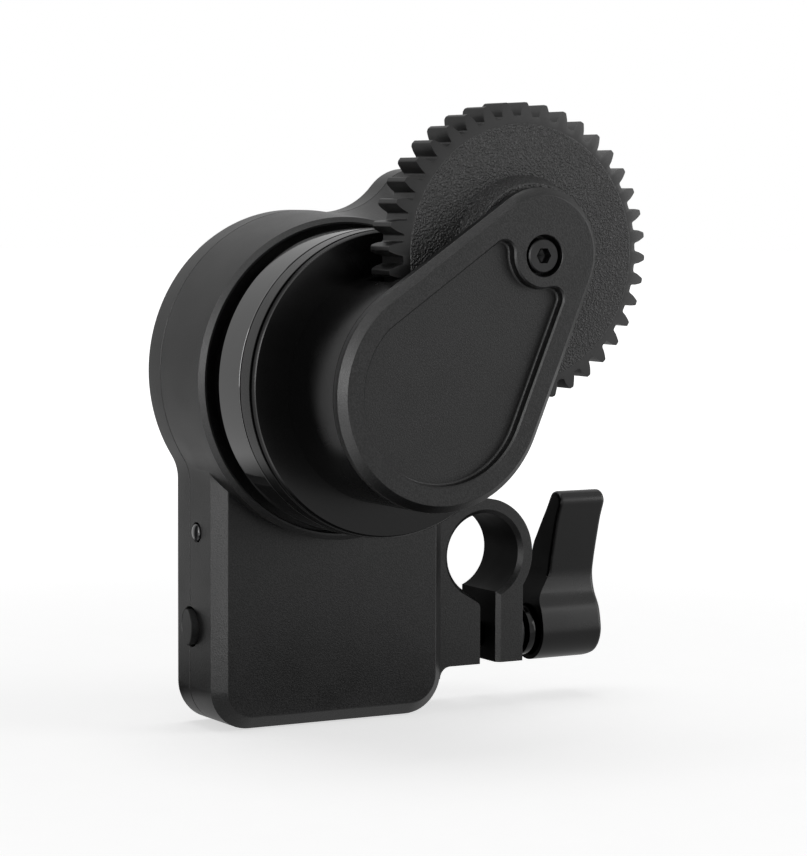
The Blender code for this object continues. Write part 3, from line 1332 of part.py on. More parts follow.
def clamp_lever(finish, frame):
    """The wing lever on the end of the clamp screw."""
    shape = prism(lever_side_outline(), LEVER_LEFT, LEVER_RIGHT)
    # The prism runs along Y, so it is turned to run along X with its outline in Y and Z.
    swap = Matrix(((0.0, 1.0, 0.0), (1.0, 0.0, 0.0), (0.0, 0.0, 1.0)))
    for vert in shape.verts:
        vert.co = swap @ vert.co
    finished(shape)

    def round_the_end(edge):
        return all(abs(vert.co.x - LEVER_RIGHT) < WELD for vert in edge.verts)

    shape = chamfered(shape, LEVER_END_ROUND, round_the_end, LEVER_END_STEPS)
    lever = piece("clamp_lever", shape, finish, frame)
    arm_bottom = LEVER_FLARE_BOTTOM - SCREW_Z
    flare_top = LEVER_FLARE_TOP - SCREW_Z
    top = LEVER_TOP - SCREW_Z + OVERRUN
    beside_arm = [
        Vector((LEVER_LEFT - OVERRUN, arm_bottom)),
        Vector((LEVER_LEFT, arm_bottom)),
        Vector((LEVER_ARM_LEFT, flare_top)),
        Vector((LEVER_ARM_LEFT, top)),
        Vector((LEVER_LEFT - OVERRUN, top)),
    ]
    reach = LEVER_BACK + OVERRUN
    cut(lever, prism(beside_arm, -reach, reach))
    socket = [
        (0.0, LEVER_LEFT - OVERRUN),
        (FLANGE_RADIUS + FIT, LEVER_LEFT - OVERRUN),
        (FLANGE_RADIUS + FIT, LEVER_LEFT + LEVER_RECESS_DEPTH),
        (DRIVE_RADIUS + FIT, LEVER_LEFT + LEVER_RECESS_DEPTH),
        (DRIVE_RADIUS + FIT, LEVER_LEFT + DRIVE_LENGTH + SEAT),
        (0.0, LEVER_LEFT + DRIVE_LENGTH + SEAT),
    ]
    cut(lever, turned(socket, SMALL_ROUND_STEPS * 2, "X"))
    return lever


# Assembly

def build():
    """Makes every piece and places it."""
    clear_scene()
    anodised = Finish("black_anodised", (0.022, 0.022, 0.024), 0.45, 0.7)
    satin = Finish("satin_black", (0.035, 0.035, 0.037), 0.3, 0.7)
    nylon = Finish("black_nylon", (0.02, 0.02, 0.021), 0.6, 0.0)
    steel = Finish("bright_steel", (0.6, 0.6, 0.6), 0.25, 1.0)
    dark_steel = Finish("black_steel", (0.03, 0.03, 0.032), 0.35, 0.9)
    bronze = Finish("bronze", (0.55, 0.36, 0.16), 0.35, 1.0)
    copper = Finish("copper_windings", (0.62, 0.27, 0.12), 0.4, 1.0)
    magnet = Finish("magnet", (0.16, 0.16, 0.18), 0.4, 0.8)
    board = Finish("circuit_board", (0.02, 0.12, 0.05), 0.5, 0.0)
    plastic = Finish("dark_plastic", (0.018, 0.018, 0.02), 0.5, 0.0)
    smoked = Finish("smoked_lens", (0.05, 0.05, 0.055), 0.2, 0.0)

    frame = pivot("housing_frame", None, (-ROD_X, -ROD_MIDDLE_Y, -ROD_Z))
    front_shell(anodised, frame)
    rear_cover(anodised, frame)
    cover_screws(dark_steel, frame)
    circuit_board(board, frame)
    driver_chip(plastic, frame)
    button_switch(plastic, frame)
    control_socket(steel, frame)
    indicator_lens(smoked, frame)
    encoder_board(board, frame)
    motor_stator(copper, frame)
    rear_bearing(steel, frame)
    friction_washer(bronze, frame)
    thread_insert(steel, frame)
    thrust_washer(dark_steel, frame)
    push_button(plastic, frame)

    arm = pivot("arm_pivot", frame, (0.0, 0.0, 0.0))
    arm_base(anodised, arm)
    drum_ring(satin, arm)
    arm_hub(anodised, arm)
    arm_cover(anodised, arm)
    base_screws(dark_steel, arm)
    retaining_clip(steel, arm)
    front_bearing(steel, arm)
    gear_axle(steel, arm)
    axle_screw(dark_steel, arm)
    rotor_parts(steel, magnet, arm)

    gear_pivot = pivot("gear_pivot", arm, (GEAR_CENTRE.x, 0.0, GEAR_CENTRE.y))
    lens_gear(nylon, gear_pivot)
    gear_bushes(bronze, gear_pivot)

    lever_pivot = pivot("lever_pivot", frame, (0.0, SCREW_Y, SCREW_Z))
    clamp_screw(steel, lever_pivot)
    clamp_lever(anodised, lever_pivot)


build()
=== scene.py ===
"""The looks of a lens follow focus: finer pieces, finishes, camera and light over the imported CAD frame.

Sizes are in metres. Shapes are drawn about the drum's axis at the box's front plane, X to the right,
Y to the back and Z up, and are then moved into the CAD frame, whose origin is the rod's centre.
"""

import json
import logging
import math
from collections.abc import Callable, Iterable, Sequence
from dataclasses import dataclass, field
from enum import Enum

import bmesh
import bpy
from bmesh.types import BMEdge, BMesh, BMVert
from bpy.types import Material, NodeSocket, Object
from mathutils import Matrix, Vector


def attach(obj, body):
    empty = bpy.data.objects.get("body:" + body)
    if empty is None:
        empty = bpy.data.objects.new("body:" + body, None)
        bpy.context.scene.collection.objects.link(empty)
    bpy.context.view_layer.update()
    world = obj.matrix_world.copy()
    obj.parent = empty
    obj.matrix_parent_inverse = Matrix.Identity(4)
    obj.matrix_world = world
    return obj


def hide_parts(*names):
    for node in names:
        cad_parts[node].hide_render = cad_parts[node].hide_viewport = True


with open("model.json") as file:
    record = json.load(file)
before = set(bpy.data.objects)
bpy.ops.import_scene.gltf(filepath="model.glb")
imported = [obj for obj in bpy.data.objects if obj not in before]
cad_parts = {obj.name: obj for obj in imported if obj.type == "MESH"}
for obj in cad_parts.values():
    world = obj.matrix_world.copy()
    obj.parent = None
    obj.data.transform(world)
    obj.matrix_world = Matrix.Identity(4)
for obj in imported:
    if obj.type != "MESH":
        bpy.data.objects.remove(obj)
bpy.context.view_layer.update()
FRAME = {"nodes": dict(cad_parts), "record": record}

LOG = logging.getLogger("follow_focus")
ORIGIN = Vector((0.0219, 0.00599, -0.0221))
AXIS = Vector((0.0, 0.0))
TURN = math.radians(360.0)
QUARTER = TURN / 4
# Where the axes of the lens gear and of the clamp screw are
GEAR_CENTRE = (0.0123415, 0.0147081)
CLAMP_SCREW = (0.0061, -0.0323)
WELD = 0.000001
OVERRUN = 0.001
# How far joined shapes overlap, and what fitted and loose pieces leave free
LAP = 0.0001
FIT = 0.0001
PLAY = 0.0003
SMOOTH_ANGLE = math.radians(30.0)
WORN = "worn"
WEAR_WIDTH = 0.0003
WEAR_PATTERN = (0.35, 0.6)
WEAR_LEVELS = (0.2, 0.8)
# The part of a noise pattern's range that nearly all of it fills, and a narrower part
MOST = (0.3, 0.7)
CORE = (0.36, 0.64)
FINE_CIRCLE_STEPS = 180
CIRCLE_STEPS = 144
SMALL_CIRCLE_STEPS = 48
CORNER_SHARE = 0.49
HEXAGON_SIDES = 6
HEXAGON_FLAT_SHARE = 0.86
HEXAGON_CONE_SHARE = 0.5

Colour = tuple[float, float, float]
Profile = list[tuple[float, float]]
Outline = list[Vector]


class Operation(Enum):
    """How one shape acts on another."""

    CUT = "DIFFERENCE"
    JOIN = "UNION"
    KEEP = "INTERSECT"


class Axis(Enum):
    """The directions that a turned piece may stand in."""

    Y = (0.0, 1.0, 0.0)
    X = (1.0, 0.0, 0.0)


# Outlines and profiles

def bearing(start: Vector, end: Vector) -> float:
    """Returns the direction from one point to another, as an angle."""
    return math.atan2(end.y - start.y, end.x - start.x)


def polar(centre: Vector, radius: float, angle: float) -> Vector:
    """Returns the point at a radius and an angle from a centre."""
    return centre + Vector((math.cos(angle), math.sin(angle))) * radius


def arc(centre: Vector, radius: float, start: float, end: float, steps: int, turning: int = 1) -> Outline:
    """Draws an arc.

    Args:
        centre: The arc's centre.
        radius: Its radius.
        start: The angle where it starts.
        end: The angle where it ends.
        steps: How many sides it has.
        turning: 1 for anticlockwise and -1 for clockwise.

    Returns:
        The arc's points, both ends with them.
    """
    sweep = ((end - start) * turning) % TURN * turning
    return [polar(centre, radius, start + sweep * step / steps) for step in range(steps + 1)]


def meeting_point(
    first: Vector, first_reach: float, second: Vector, second_reach: float, side: int
) -> Vector:
    """Finds the point at given distances from two centres.

    Args:
        first: One centre.
        first_reach: The distance from it.
        second: The other centre.
        second_reach: The distance from that.
        side: 1 for the point left of the line between them, -1 for the right.

    Returns:
        The point.
    """
    apart = (second - first).length
    along = (apart**2 + first_reach**2 - second_reach**2) / (2 * apart)
    across = math.sqrt(first_reach**2 - along**2)
    direction = (second - first) / apart
    return first + direction * along + Vector((-direction.y, direction.x)) * across * side


def without_doubles(points: Outline) -> Outline:
    """Returns a closed outline with each repeated point dropped."""
    return [point for index, point in enumerate(points) if (point - points[index - 1]).length > WELD]


def corner_arc(before: Vector, corner: Vector, after: Vector, radius: float, steps: int) -> Outline:
    """Rounds one corner.

    Args:
        before: The point before the corner.
        corner: The corner.
        after: The point after it.
        radius: The radius of the rounding.
        steps: How many sides the arc has.

    Returns:
        The points that take the corner's place.
    """
    first = (before - corner).normalized()
    second = (after - corner).normalized()
    opening = first.angle(second)
    reach = radius / math.tan(opening / 2)
    shortest = min((before - corner).length, (after - corner).length) * CORNER_SHARE
    reach = min(reach, shortest)
    points = []
    for step in range(steps + 1):
        share = step / steps
        start = corner + first * reach * (1 - share)
        end = corner + second * reach * share
        points.append(start.lerp(end, share))
    return points


def eased(profile: Profile, radius: float, steps: int = 3) -> Profile:
    """Rounds the corners of an open profile.

    Args:
        profile: Its points as (radius, place along the axis).
        radius: The radius of the rounding.
        steps: How many sides each rounding has.

    Returns:
        The rounded profile.
    """
    points = [Vector(point) for point in profile]
    made = [points[0]]
    for before, corner, after in zip(points, points[1:], points[2:]):
        made += corner_arc(before, corner, after, radius, steps)
    made.append(points[-1])
    return [(point.x, point.y) for point in made]


def smoothed(points: Outline, steps: int) -> Outline:
    """Draws a smooth closed line through points.

    Args:
        points: The points that it passes through.
        steps: How many sides it has between two of them.

    Returns:
        The line's points.
    """
    made = []
    count = len(points)
    for index in range(count):
        first, second, third, fourth = (points[(index + offset) % count] for offset in (-1, 0, 1, 2))
        for step in range(steps):
            share = step / steps
            slope = (third - first) * share
            bend = (2 * first - 5 * second + 4 * third - fourth) * share**2
            twist = (3 * second - first - 3 * third + fourth) * share**3
            made.append(second + (slope + bend + twist) / 2)
    return made


def widened(points: Outline, margin: float) -> Outline:
    """Draws an outline that runs counter-clockwise again, a margin further out.

    Args:
        points: The outline.
        margin: How far outwards it moves, or inwards if below zero.

    Returns:
        As many points as before.
    """
    wider = []
    for index, point in enumerate(points):
        before = (point - points[index - 1]).normalized()
        after = (points[(index + 1) % len(points)] - point).normalized()
        along = (before + after).normalized()
        wider.append(point + Vector((along.y, -along.x)) * margin / along.dot(after))
    return wider


def funnel(points: Outline, margin: float, front: float, back: float) -> BMesh:
    """Draws a prism that widens towards its front.

    Args:
        points: The outline at its back.
        margin: How much wider its front is on every side.
        front: The Y of its wide end.
        back: The Y of its narrow end.

    Returns:
        The closed shape.
    """
    shape = prism(points, front, back)
    wide = widened(points, margin)
    for vert in shape.verts:
        if abs(vert.co.y - front) < WELD:
            place = Vector((vert.co.x, vert.co.z))
            nearest = min(range(len(points)), key=lambda index: (points[index] - place).length)
            vert.co = (wide[nearest].x, front, wide[nearest].y)
    return settled(shape)


def rounded_box(left: float, right: float, bottom: float, top: float, radius: float, steps: int) -> Outline:
    """Draws a rectangle with round corners.

    Args:
        left: Its left side.
        right: Its right side.
        bottom: Its lower side.
        top: Its upper side.
        radius: The radius of its corners.
        steps: How many sides each corner has.

    Returns:
        Its points.
    """
    points = arc(Vector((right - radius, top - radius)), radius, 0.0, QUARTER, steps)
    points += arc(Vector((left + radius, top - radius)), radius, QUARTER, 2 * QUARTER, steps)
    points += arc(Vector((left + radius, bottom + radius)), radius, 2 * QUARTER, 3 * QUARTER, steps)
    points += arc(Vector((right - radius, bottom + radius)), radius, 3 * QUARTER, TURN, steps)
    return points


def rod(radius: float, front: float, back: float) -> Profile:
    """Returns the profile of a rod."""
    return [(0.0, front), (radius, front), (radius, back), (0.0, back)]


# Meshes

def settled(shape: BMesh) -> BMesh:
    """Merges a shape's doubles and points its faces out.

    Args:
        shape: The shape.

    Returns:
        The same shape.
    """
    bmesh.ops.remove_doubles(shape, verts=shape.verts, dist=WELD)
    bmesh.ops.recalc_face_normals(shape, faces=shape.faces)
    return shape


def prism(outline: Outline, front: float, back: float) -> BMesh:
    """Draws out a flat outline along Y.

    Args:
        outline: Its points in X and Z.
        front: The Y of its front face.
        back: The Y of its rear face.

    Returns:
        The solid.
    """
    shape = bmesh.new()
    rear = shape.faces.new([shape.verts.new((point.x, back, point.y)) for point in without_doubles(outline)])
    pulled = bmesh.ops.extrude_face_region(shape, geom=[rear])["geom"]
    moved = [item for item in pulled if isinstance(item, BMVert)]
    bmesh.ops.translate(shape, vec=(0.0, front - back, 0.0), verts=moved)
    return settled(shape)


def block(x_range: tuple[float, float], y_range: tuple[float, float], z_range: tuple[float, float]) -> BMesh:
    """Draws a block between three pairs of planes.

    Args:
        x_range: Its left and right X.
        y_range: Its front and rear Y.
        z_range: Its lower and upper Z.

    Returns:
        The solid.
    """
    shape = bmesh.new()
    bmesh.ops.create_cube(shape, size=1.0)
    ranges = (x_range, y_range, z_range)
    bmesh.ops.scale(shape, vec=[high - low for low, high in ranges], verts=shape.verts)
    bmesh.ops.translate(shape, vec=[(high + low) / 2 for low, high in ranges], verts=shape.verts)
    return shape


def turned(profile: Profile, steps: int = CIRCLE_STEPS, axis: Axis = Axis.Y) -> BMesh:
    """Spins a profile into a round solid.

    Args:
        profile: Its points as (radius, place along the axis).
        steps: How many sides the circle has.
        axis: The direction of the axis.

    Returns:
        The solid.
    """
    along = Vector(axis.value)
    shape = bmesh.new()
    points = [shape.verts.new(along * place + Vector((0.0, 0.0, radius))) for radius, place in profile]
    edges = [shape.edges.new(pair) for pair in zip(points, points[1:])]
    bmesh.ops.spin(
        shape, geom=points + edges, cent=(0.0, 0.0, 0.0), axis=along, angle=TURN, steps=steps, use_merge=True
    )
    return settled(shape)


def moved(shape: BMesh, x: float, y: float, z: float) -> BMesh:
    """Returns a shape moved by three distances."""
    bmesh.ops.translate(shape, vec=(x, y, z), verts=shape.verts)
    return shape


def swung(shape: BMesh, angle: float) -> BMesh:
    """Returns a shape turned about the drum's axis, anticlockwise seen from the front."""
    bmesh.ops.rotate(shape, cent=(0.0, 0.0, 0.0), matrix=Matrix.Rotation(-angle, 3, "Y"), verts=shape.verts)
    return shape


def bevelled(
    shape: BMesh, width: float, chosen: Callable[[BMEdge], bool], segments: int = 1, held: bool = False
) -> BMesh:
    """Bevels some of a shape's edges.

    Args:
        shape: The shape.
        width: The width of the bevel.
        chosen: Says which edges are bevelled.
        segments: 1 for a chamfer, and more for a round edge.
        held: Whether it narrows where it would cross itself.

    Returns:
        The same shape.
    """
    worn = shape.faces.layers.float.get(WORN) or shape.faces.layers.float.new(WORN)
    edges = [edge for edge in shape.edges if chosen(edge)]
    made = bmesh.ops.bevel(
        shape,
        geom=edges,
        offset=width,
        offset_type="OFFSET",
        segments=segments,
        profile=0.5,
        affect="EDGES",
        clamp_overlap=held,
        material=-1,
    )
    if width < WEAR_WIDTH:
        for face in made["faces"]:
            face[worn] = 1.0
    return settled(shape)


def at_y(*places: float) -> Callable[[BMEdge], bool]:
    """Makes a test for the edges that lie in one of some Y planes.

    Args:
        places: The planes' Y.

    Returns:
        The test.
    """

    def chosen(edge: BMEdge) -> bool:
        """Returns whether both ends of the edge are in the same plane."""
        return any(all(abs(vert.co.y - place) < WELD for vert in edge.verts) for place in places)

    return chosen


def sharp(least: float) -> Callable[[BMEdge], bool]:
    """Makes a test for the edges that turn by more than an angle.

    Args:
        least: The angle.

    Returns:
        The test.
    """

    def chosen(edge: BMEdge) -> bool:
        """Returns whether the edge is sharp."""
        return len(edge.link_faces) == 2 and edge.calc_face_angle(0.0) > least

    return chosen


def as_object(name: str, shape: BMesh) -> Object:
    """Puts a shape into the scene and frees it.

    Args:
        name: The object's name.
        shape: The shape.

    Returns:
        The object.
    """
    mesh = bpy.data.meshes.new(name)
    shape.to_mesh(mesh)
    shape.free()
    made = bpy.data.objects.new(name, mesh)
    bpy.context.scene.collection.objects.link(made)
    return made


def combined(shape: BMesh, tool: BMesh, operation: Operation) -> BMesh:
    """Cuts one shape with another, joins them, or keeps what they share.

    Args:
        shape: The shape that is changed.
        tool: The shape that changes it.
        operation: What is done.

    Returns:
        The result.
    """
    target = as_object("target", shape)
    cutter = as_object("cutter", tool)
    modifier = target.modifiers.new("combine", "BOOLEAN")
    modifier.operation = operation.value
    modifier.solver = "EXACT"
    modifier.object = cutter
    graph = bpy.context.evaluated_depsgraph_get()
    result = bmesh.new()
    result.from_mesh(target.evaluated_get(graph).to_mesh())
    for helper in (target, cutter):
        mesh = helper.data
        bpy.data.objects.remove(helper)
        bpy.data.meshes.remove(mesh)
    return result


def cut(shape: BMesh, *tools: BMesh) -> BMesh:
    """Cuts shapes out of another.

    Args:
        shape: The shape that is cut.
        tools: The shapes that are cut out of it.

    Returns:
        What is left.
    """
    for tool in tools:
        shape = combined(shape, tool, Operation.CUT)
    return shape


def joined(shape: BMesh, *tools: BMesh) -> BMesh:
    """Joins shapes onto another.

    Args:
        shape: The first shape.
        tools: The shapes that are joined on.

    Returns:
        The whole.
    """
    for tool in tools:
        shape = combined(shape, tool, Operation.JOIN)
    return shape


# Finishes

class Graph:
    """The nodes of one material, with its shader."""

    def __init__(self, name: str) -> None:
        """Starts a material.

        Args:
            name: Its name.
        """
        self.material: Material = bpy.data.materials.new(name)
        self.material.use_nodes = True
        self.nodes = self.material.node_tree.nodes
        self.links = self.material.node_tree.links
        self.shader = self.nodes["Principled BSDF"]
        self.coordinates = self.nodes.new("ShaderNodeTexCoord").outputs["Object"]

    def placed(self, centre: Sequence[float], stretch: Sequence[float] = (1.0, 1.0, 1.0)) -> NodeSocket:
        """Centres and scales Object coordinates.

        Args:
            centre: Where they start.
            stretch: How much finer a pattern gets along each axis.

        Returns:
            The coordinates.
        """
        mapping = self.nodes.new("ShaderNodeMapping")
        mapping.inputs["Location"].default_value = [-part * by for part, by in zip(centre, stretch)]
        mapping.inputs["Scale"].default_value = stretch
        self.links.new(self.coordinates, mapping.inputs["Vector"])
        return mapping.outputs["Vector"]

    def noise(self, size: float, detail: float = 3.0, place: NodeSocket | None = None) -> NodeSocket:
        """Makes a cloud pattern.

        Args:
            size: About how big its spots are.
            detail: How many finer layers it has.
            place: Its coordinates, where they aren't the object's own.

        Returns:
            The pattern, from 0 to 1.
        """
        node = self.nodes.new("ShaderNodeTexNoise")
        node.inputs["Scale"].default_value = 1.0 / size
        node.inputs["Detail"].default_value = detail
        self.links.new(place or self.coordinates, node.inputs["Vector"])
        return node.outputs["Fac"]

    def cells(self, size: float, feature: str = "SMOOTH_F1", place: NodeSocket | None = None) -> NodeSocket:
        """Makes a pattern of cells.

        Args:
            size: About how wide a cell is.
            feature: Which distance it gives, by Blender's name.
            place: Its coordinates, where they aren't the object's own.

        Returns:
            The distance from each cell's centre or edge.
        """
        node = self.nodes.new("ShaderNodeTexVoronoi")
        node.feature = feature
        node.inputs["Scale"].default_value = 1.0 / size
        self.links.new(place or self.coordinates, node.inputs["Vector"])
        return node.outputs["Distance"]

    def part(self, vector: NodeSocket, name: str) -> NodeSocket:
        """Takes one part of a vector.

        Args:
            vector: The vector.
            name: X, Y or Z.

        Returns:
            The part.
        """
        node = self.nodes.new("ShaderNodeSeparateXYZ")
        self.links.new(vector, node.inputs["Vector"])
        return node.outputs[name]

    def calculated(self, operation: str, *values: NodeSocket | float) -> NodeSocket:
        """Does a sum on sockets and numbers.

        Args:
            operation: Blender's name for the sum.
            values: The sockets and numbers.

        Returns:
            The result.
        """
        node = self.nodes.new("ShaderNodeMath")
        node.operation = operation
        for socket, value in zip(node.inputs, values):
            if isinstance(value, NodeSocket):
                self.links.new(value, socket)
            else:
                socket.default_value = value
        return node.outputs["Value"]

    def ranged(self, value: NodeSocket, low: float, high: float, start: float, end: float) -> NodeSocket:
        """Maps a value smoothly from one range to another.

        Args:
            value: The value.
            low: The lower end of its range.
            high: The upper end.
            start: The result at the lower end.
            end: The result at the upper end.

        Returns:
            The result.
        """
        node = self.nodes.new("ShaderNodeMapRange")
        node.interpolation_type = "SMOOTHSTEP"
        for name, number in (("From Min", low), ("From Max", high), ("To Min", start), ("To Max", end)):
            node.inputs[name].default_value = number
        self.links.new(value, node.inputs["Value"])
        return node.outputs["Result"]

    def coloured(self, value: NodeSocket, first: Colour, second: Colour) -> NodeSocket:
        """Mixes two colours.

        Args:
            value: How much of the second there is, from 0 to 1.
            first: One colour.
            second: The other.

        Returns:
            The mixed colour.
        """
        node = self.nodes.new("ShaderNodeMix")
        node.data_type = "RGBA"
        self.links.new(value, node.inputs[0])
        # Inputs 6 and 7 and output 2 are the node's colour sockets
        node.inputs[6].default_value = (*first, 1.0)
        node.inputs[7].default_value = (*second, 1.0)
        return node.outputs[2]

    def blended(self, value: NodeSocket, first: NodeSocket, second: Colour) -> NodeSocket:
        """Mixes a socket's colour with a fixed one.

        Args:
            value: How much of the fixed one there is, from 0 to 1.
            first: The socket.
            second: The fixed colour.

        Returns:
            The mixed colour.
        """
        node = self.nodes.new("ShaderNodeMix")
        node.data_type = "RGBA"
        self.links.new(value, node.inputs[0])
        self.links.new(first, node.inputs[6])
        node.inputs[7].default_value = (*second, 1.0)
        return node.outputs[2]

    def wear(self, pattern: NodeSocket) -> NodeSocket:
        """Finds the worn edges, which are the small bevels, broken up by a pattern.

        Args:
            pattern: The pattern.

        Returns:
            How worn the surface is, from 0 to 1.
        """
        node = self.nodes.new("ShaderNodeAttribute")
        node.attribute_name = WORN
        broken = self.ranged(pattern, *WEAR_PATTERN, *WEAR_LEVELS)
        return self.calculated("MULTIPLY", node.outputs["Fac"], broken)

    def bumped(self, height: NodeSocket, distance: float, normal: NodeSocket | None = None) -> NodeSocket:
        """Raises the surface by a pattern.

        Args:
            height: The pattern.
            distance: How high it stands.
            normal: Another bumped normal that it lies on.

        Returns:
            The surface's normal.
        """
        node = self.nodes.new("ShaderNodeBump")
        node.inputs["Distance"].default_value = distance
        node.inputs["Strength"].default_value = 1.0
        self.links.new(height, node.inputs["Height"])
        if normal is not None:
            self.links.new(normal, node.inputs["Normal"])
        return node.outputs["Normal"]

    def drive(self, **sockets: NodeSocket | float) -> None:
        """Sets or links the shader's inputs.

        Args:
            sockets: Their values, by name with underscores for spaces.
        """
        for name, value in sockets.items():
            socket = self.shader.inputs[name.replace("_", " ")]
            if isinstance(value, NodeSocket):
                self.links.new(value, socket)
            else:
                socket.default_value = value


@dataclass(frozen=True)
class BlastedAnodising:
    """Fine bead-blasted aluminium under black anodising, with slightly lighter edges."""

    name: str = "blasted_anodising"
    dark: Colour = (0.0026, 0.0026, 0.0027)
    light: Colour = (0.0074, 0.0074, 0.0076)
    rubbed: Colour = (0.022, 0.022, 0.022)
    roughness: tuple[float, float] = (0.34, 0.44)
    grain: float = 0.00017
    grain_height: float = 0.000018
    specular: float = 0.42
    speckle: float = 0.09
    cloud_scale: float = 25.0
    cloud_share: float = 0.4
    contrast: tuple[float, float] = (0.38, 0.62)

    def material(self) -> Material:
        """Returns the finish's material."""
        graph = Graph(self.name)
        grain = graph.noise(self.grain, 2.0)
        cloud = graph.noise(self.grain * self.cloud_scale, 4.0)
        grain_part = graph.calculated("MULTIPLY", grain, 1.0 - self.cloud_share)
        cloud_part = graph.calculated("MULTIPLY", cloud, self.cloud_share)
        mixed = graph.calculated("ADD", grain_part, cloud_part)
        base = graph.coloured(graph.ranged(mixed, *self.contrast, 0.0, 1.0), self.dark, self.light)
        speckle = graph.ranged(grain, *CORE, 1.0 - self.speckle, 1.0 + self.speckle)
        graph.drive(
            Base_Color=graph.blended(graph.wear(cloud), base, self.rubbed),
            Roughness=graph.ranged(mixed, *MOST, *self.roughness),
            Normal=graph.bumped(grain, self.grain_height),
            Specular_IOR_Level=graph.calculated("MULTIPLY", speckle, self.specular),
        )
        return graph.material


@dataclass(frozen=True)
class SatinAnodising:
    """Smooth turned aluminium under black anodising, with faint tool marks round the axis."""

    name: str = "satin_anodising"
    dark: Colour = (0.0016, 0.0016, 0.0017)
    light: Colour = (0.0030, 0.0030, 0.0031)
    rubbed: Colour = (0.030, 0.030, 0.030)
    roughness: tuple[float, float] = (0.05, 0.08)
    line: float = 0.00012
    line_height: float = 0.0000006
    stretch: tuple[float, float, float] = (0.05, 1.0, 0.05)
    cloud_scale: float = 50.0
    specular: float = 0.72

    def material(self) -> Material:
        """Returns the finish's material."""
        graph = Graph(self.name)
        lines = graph.noise(self.line, 2.0, graph.placed((0.0, 0.0, 0.0), self.stretch))
        cloud = graph.noise(self.line * self.cloud_scale, 3.0)
        base = graph.coloured(cloud, self.dark, self.light)
        graph.drive(
            Base_Color=graph.blended(graph.wear(cloud), base, self.rubbed),
            Roughness=graph.ranged(cloud, *MOST, *self.roughness),
            Normal=graph.bumped(lines, self.line_height),
            Specular_IOR_Level=self.specular,
        )
        return graph.material


@dataclass(frozen=True)
class MouldedNylon:
    """Black moulded nylon, with leather grain inside a circle, smooth teeth outside it, and a painted
    highlight line along the circle.
    """

    centre: tuple[float, float, float]
    grain_radius: float
    name: str = "moulded_nylon"
    dark: Colour = (0.014, 0.014, 0.0142)
    light: Colour = (0.040, 0.040, 0.0403)
    smooth: Colour = (0.004, 0.004, 0.0041)
    # The colour of the painted highlight line along the grain's rim
    edge: Colour = (0.040, 0.040, 0.040)
    roughness: tuple[float, float] = (0.36, 0.50)
    grain: float = 0.00023
    grain_height: float = 0.00009
    rim_width: float = 0.0002
    pebble_share: float = 0.8
    tone_share: float = 0.6
    fine_share: float = 1 / 4
    fine_height_share: float = 1 / 30

    def material(self) -> Material:
        """Returns the finish's material."""
        graph = Graph(self.name)
        local = graph.placed(self.centre)
        across = graph.calculated("POWER", graph.part(local, "X"), 2.0)
        upward = graph.calculated("POWER", graph.part(local, "Z"), 2.0)
        radius = graph.calculated("SQRT", graph.calculated("ADD", across, upward))
        inside = graph.ranged(radius, self.grain_radius - self.rim_width, self.grain_radius, 1.0, 0.0)
        wide = graph.ranged(graph.noise(self.grain, 1.0), *CORE, 0.0, 1.0)
        pebbles = graph.cells(self.grain)
        leather = graph.calculated("ADD", wide, graph.calculated("MULTIPLY", pebbles, self.pebble_share))
        fine = graph.noise(self.grain * self.fine_share, 2.0)
        height = graph.calculated("MULTIPLY", leather, inside)
        skin = graph.bumped(fine, self.grain_height * self.fine_height_share)
        tone = graph.calculated("MULTIPLY", leather, self.tone_share)
        skin_colour = graph.coloured(tone, self.dark, self.light)
        outside = graph.calculated("SUBTRACT", 1.0, inside)
        # The product peaks at a quarter, half way across the rim; times four it paints a highlight line
        # there in the edge colour
        line = graph.calculated("MULTIPLY", graph.calculated("MULTIPLY", inside, outside), 4.0)
        graph.drive(
            Base_Color=graph.blended(line, graph.blended(outside, skin_colour, self.smooth), self.edge),
            Roughness=graph.ranged(fine, *MOST, *self.roughness),
            Normal=graph.bumped(height, self.grain_height, skin),
        )
        return graph.material


@dataclass(frozen=True)
class TurnedMetal:
    """Bare or blackened metal with fine turning lines and cloudy gloss."""

    name: str
    dark: Colour
    light: Colour
    roughness: tuple[float, float] = (0.18, 0.34)
    metallic: float = 1.0
    specular: float = 0.5
    line: float = 0.00010
    line_height: float = 0.000002
    stretch: tuple[float, float, float] = (1.0, 0.08, 0.08)
    cloud_scale: float = 25.0

    def material(self) -> Material:
        """Returns the finish's material."""
        graph = Graph(self.name)
        lines = graph.noise(self.line, 2.0, graph.placed((0.0, 0.0, 0.0), self.stretch))
        cloud = graph.noise(self.line * self.cloud_scale, 4.0)
        graph.drive(
            Base_Color=graph.coloured(graph.ranged(cloud, *MOST, 0.0, 1.0), self.dark, self.light),
            Roughness=graph.ranged(cloud, *MOST, *self.roughness),
            Normal=graph.bumped(lines, self.line_height),
            Metallic=self.metallic,
            Specular_IOR_Level=self.specular,
        )
        return graph.material


@dataclass(frozen=True)
class Plastic:
    """Moulded plastic with a fine skin."""

    name: str
    dark: Colour
    light: Colour
    roughness: tuple[float, float] = (0.22, 0.32)
    grain: float = 0.00012
    grain_height: float = 0.000003
    cloud_scale: float = 20.0
    coat: float = 0.0

    def material(self) -> Material:
        """Returns the finish's material."""
        graph = Graph(self.name)
        grain = graph.noise(self.grain, 2.0)
        cloud = graph.noise(self.grain * self.cloud_scale, 3.0)
        graph.drive(
            Base_Color=graph.coloured(cloud, self.dark, self.light),
            Roughness=graph.ranged(grain, *MOST, *self.roughness),
            Normal=graph.bumped(grain, self.grain_height),
            Coat_Weight=self.coat,
        )
        return graph.material


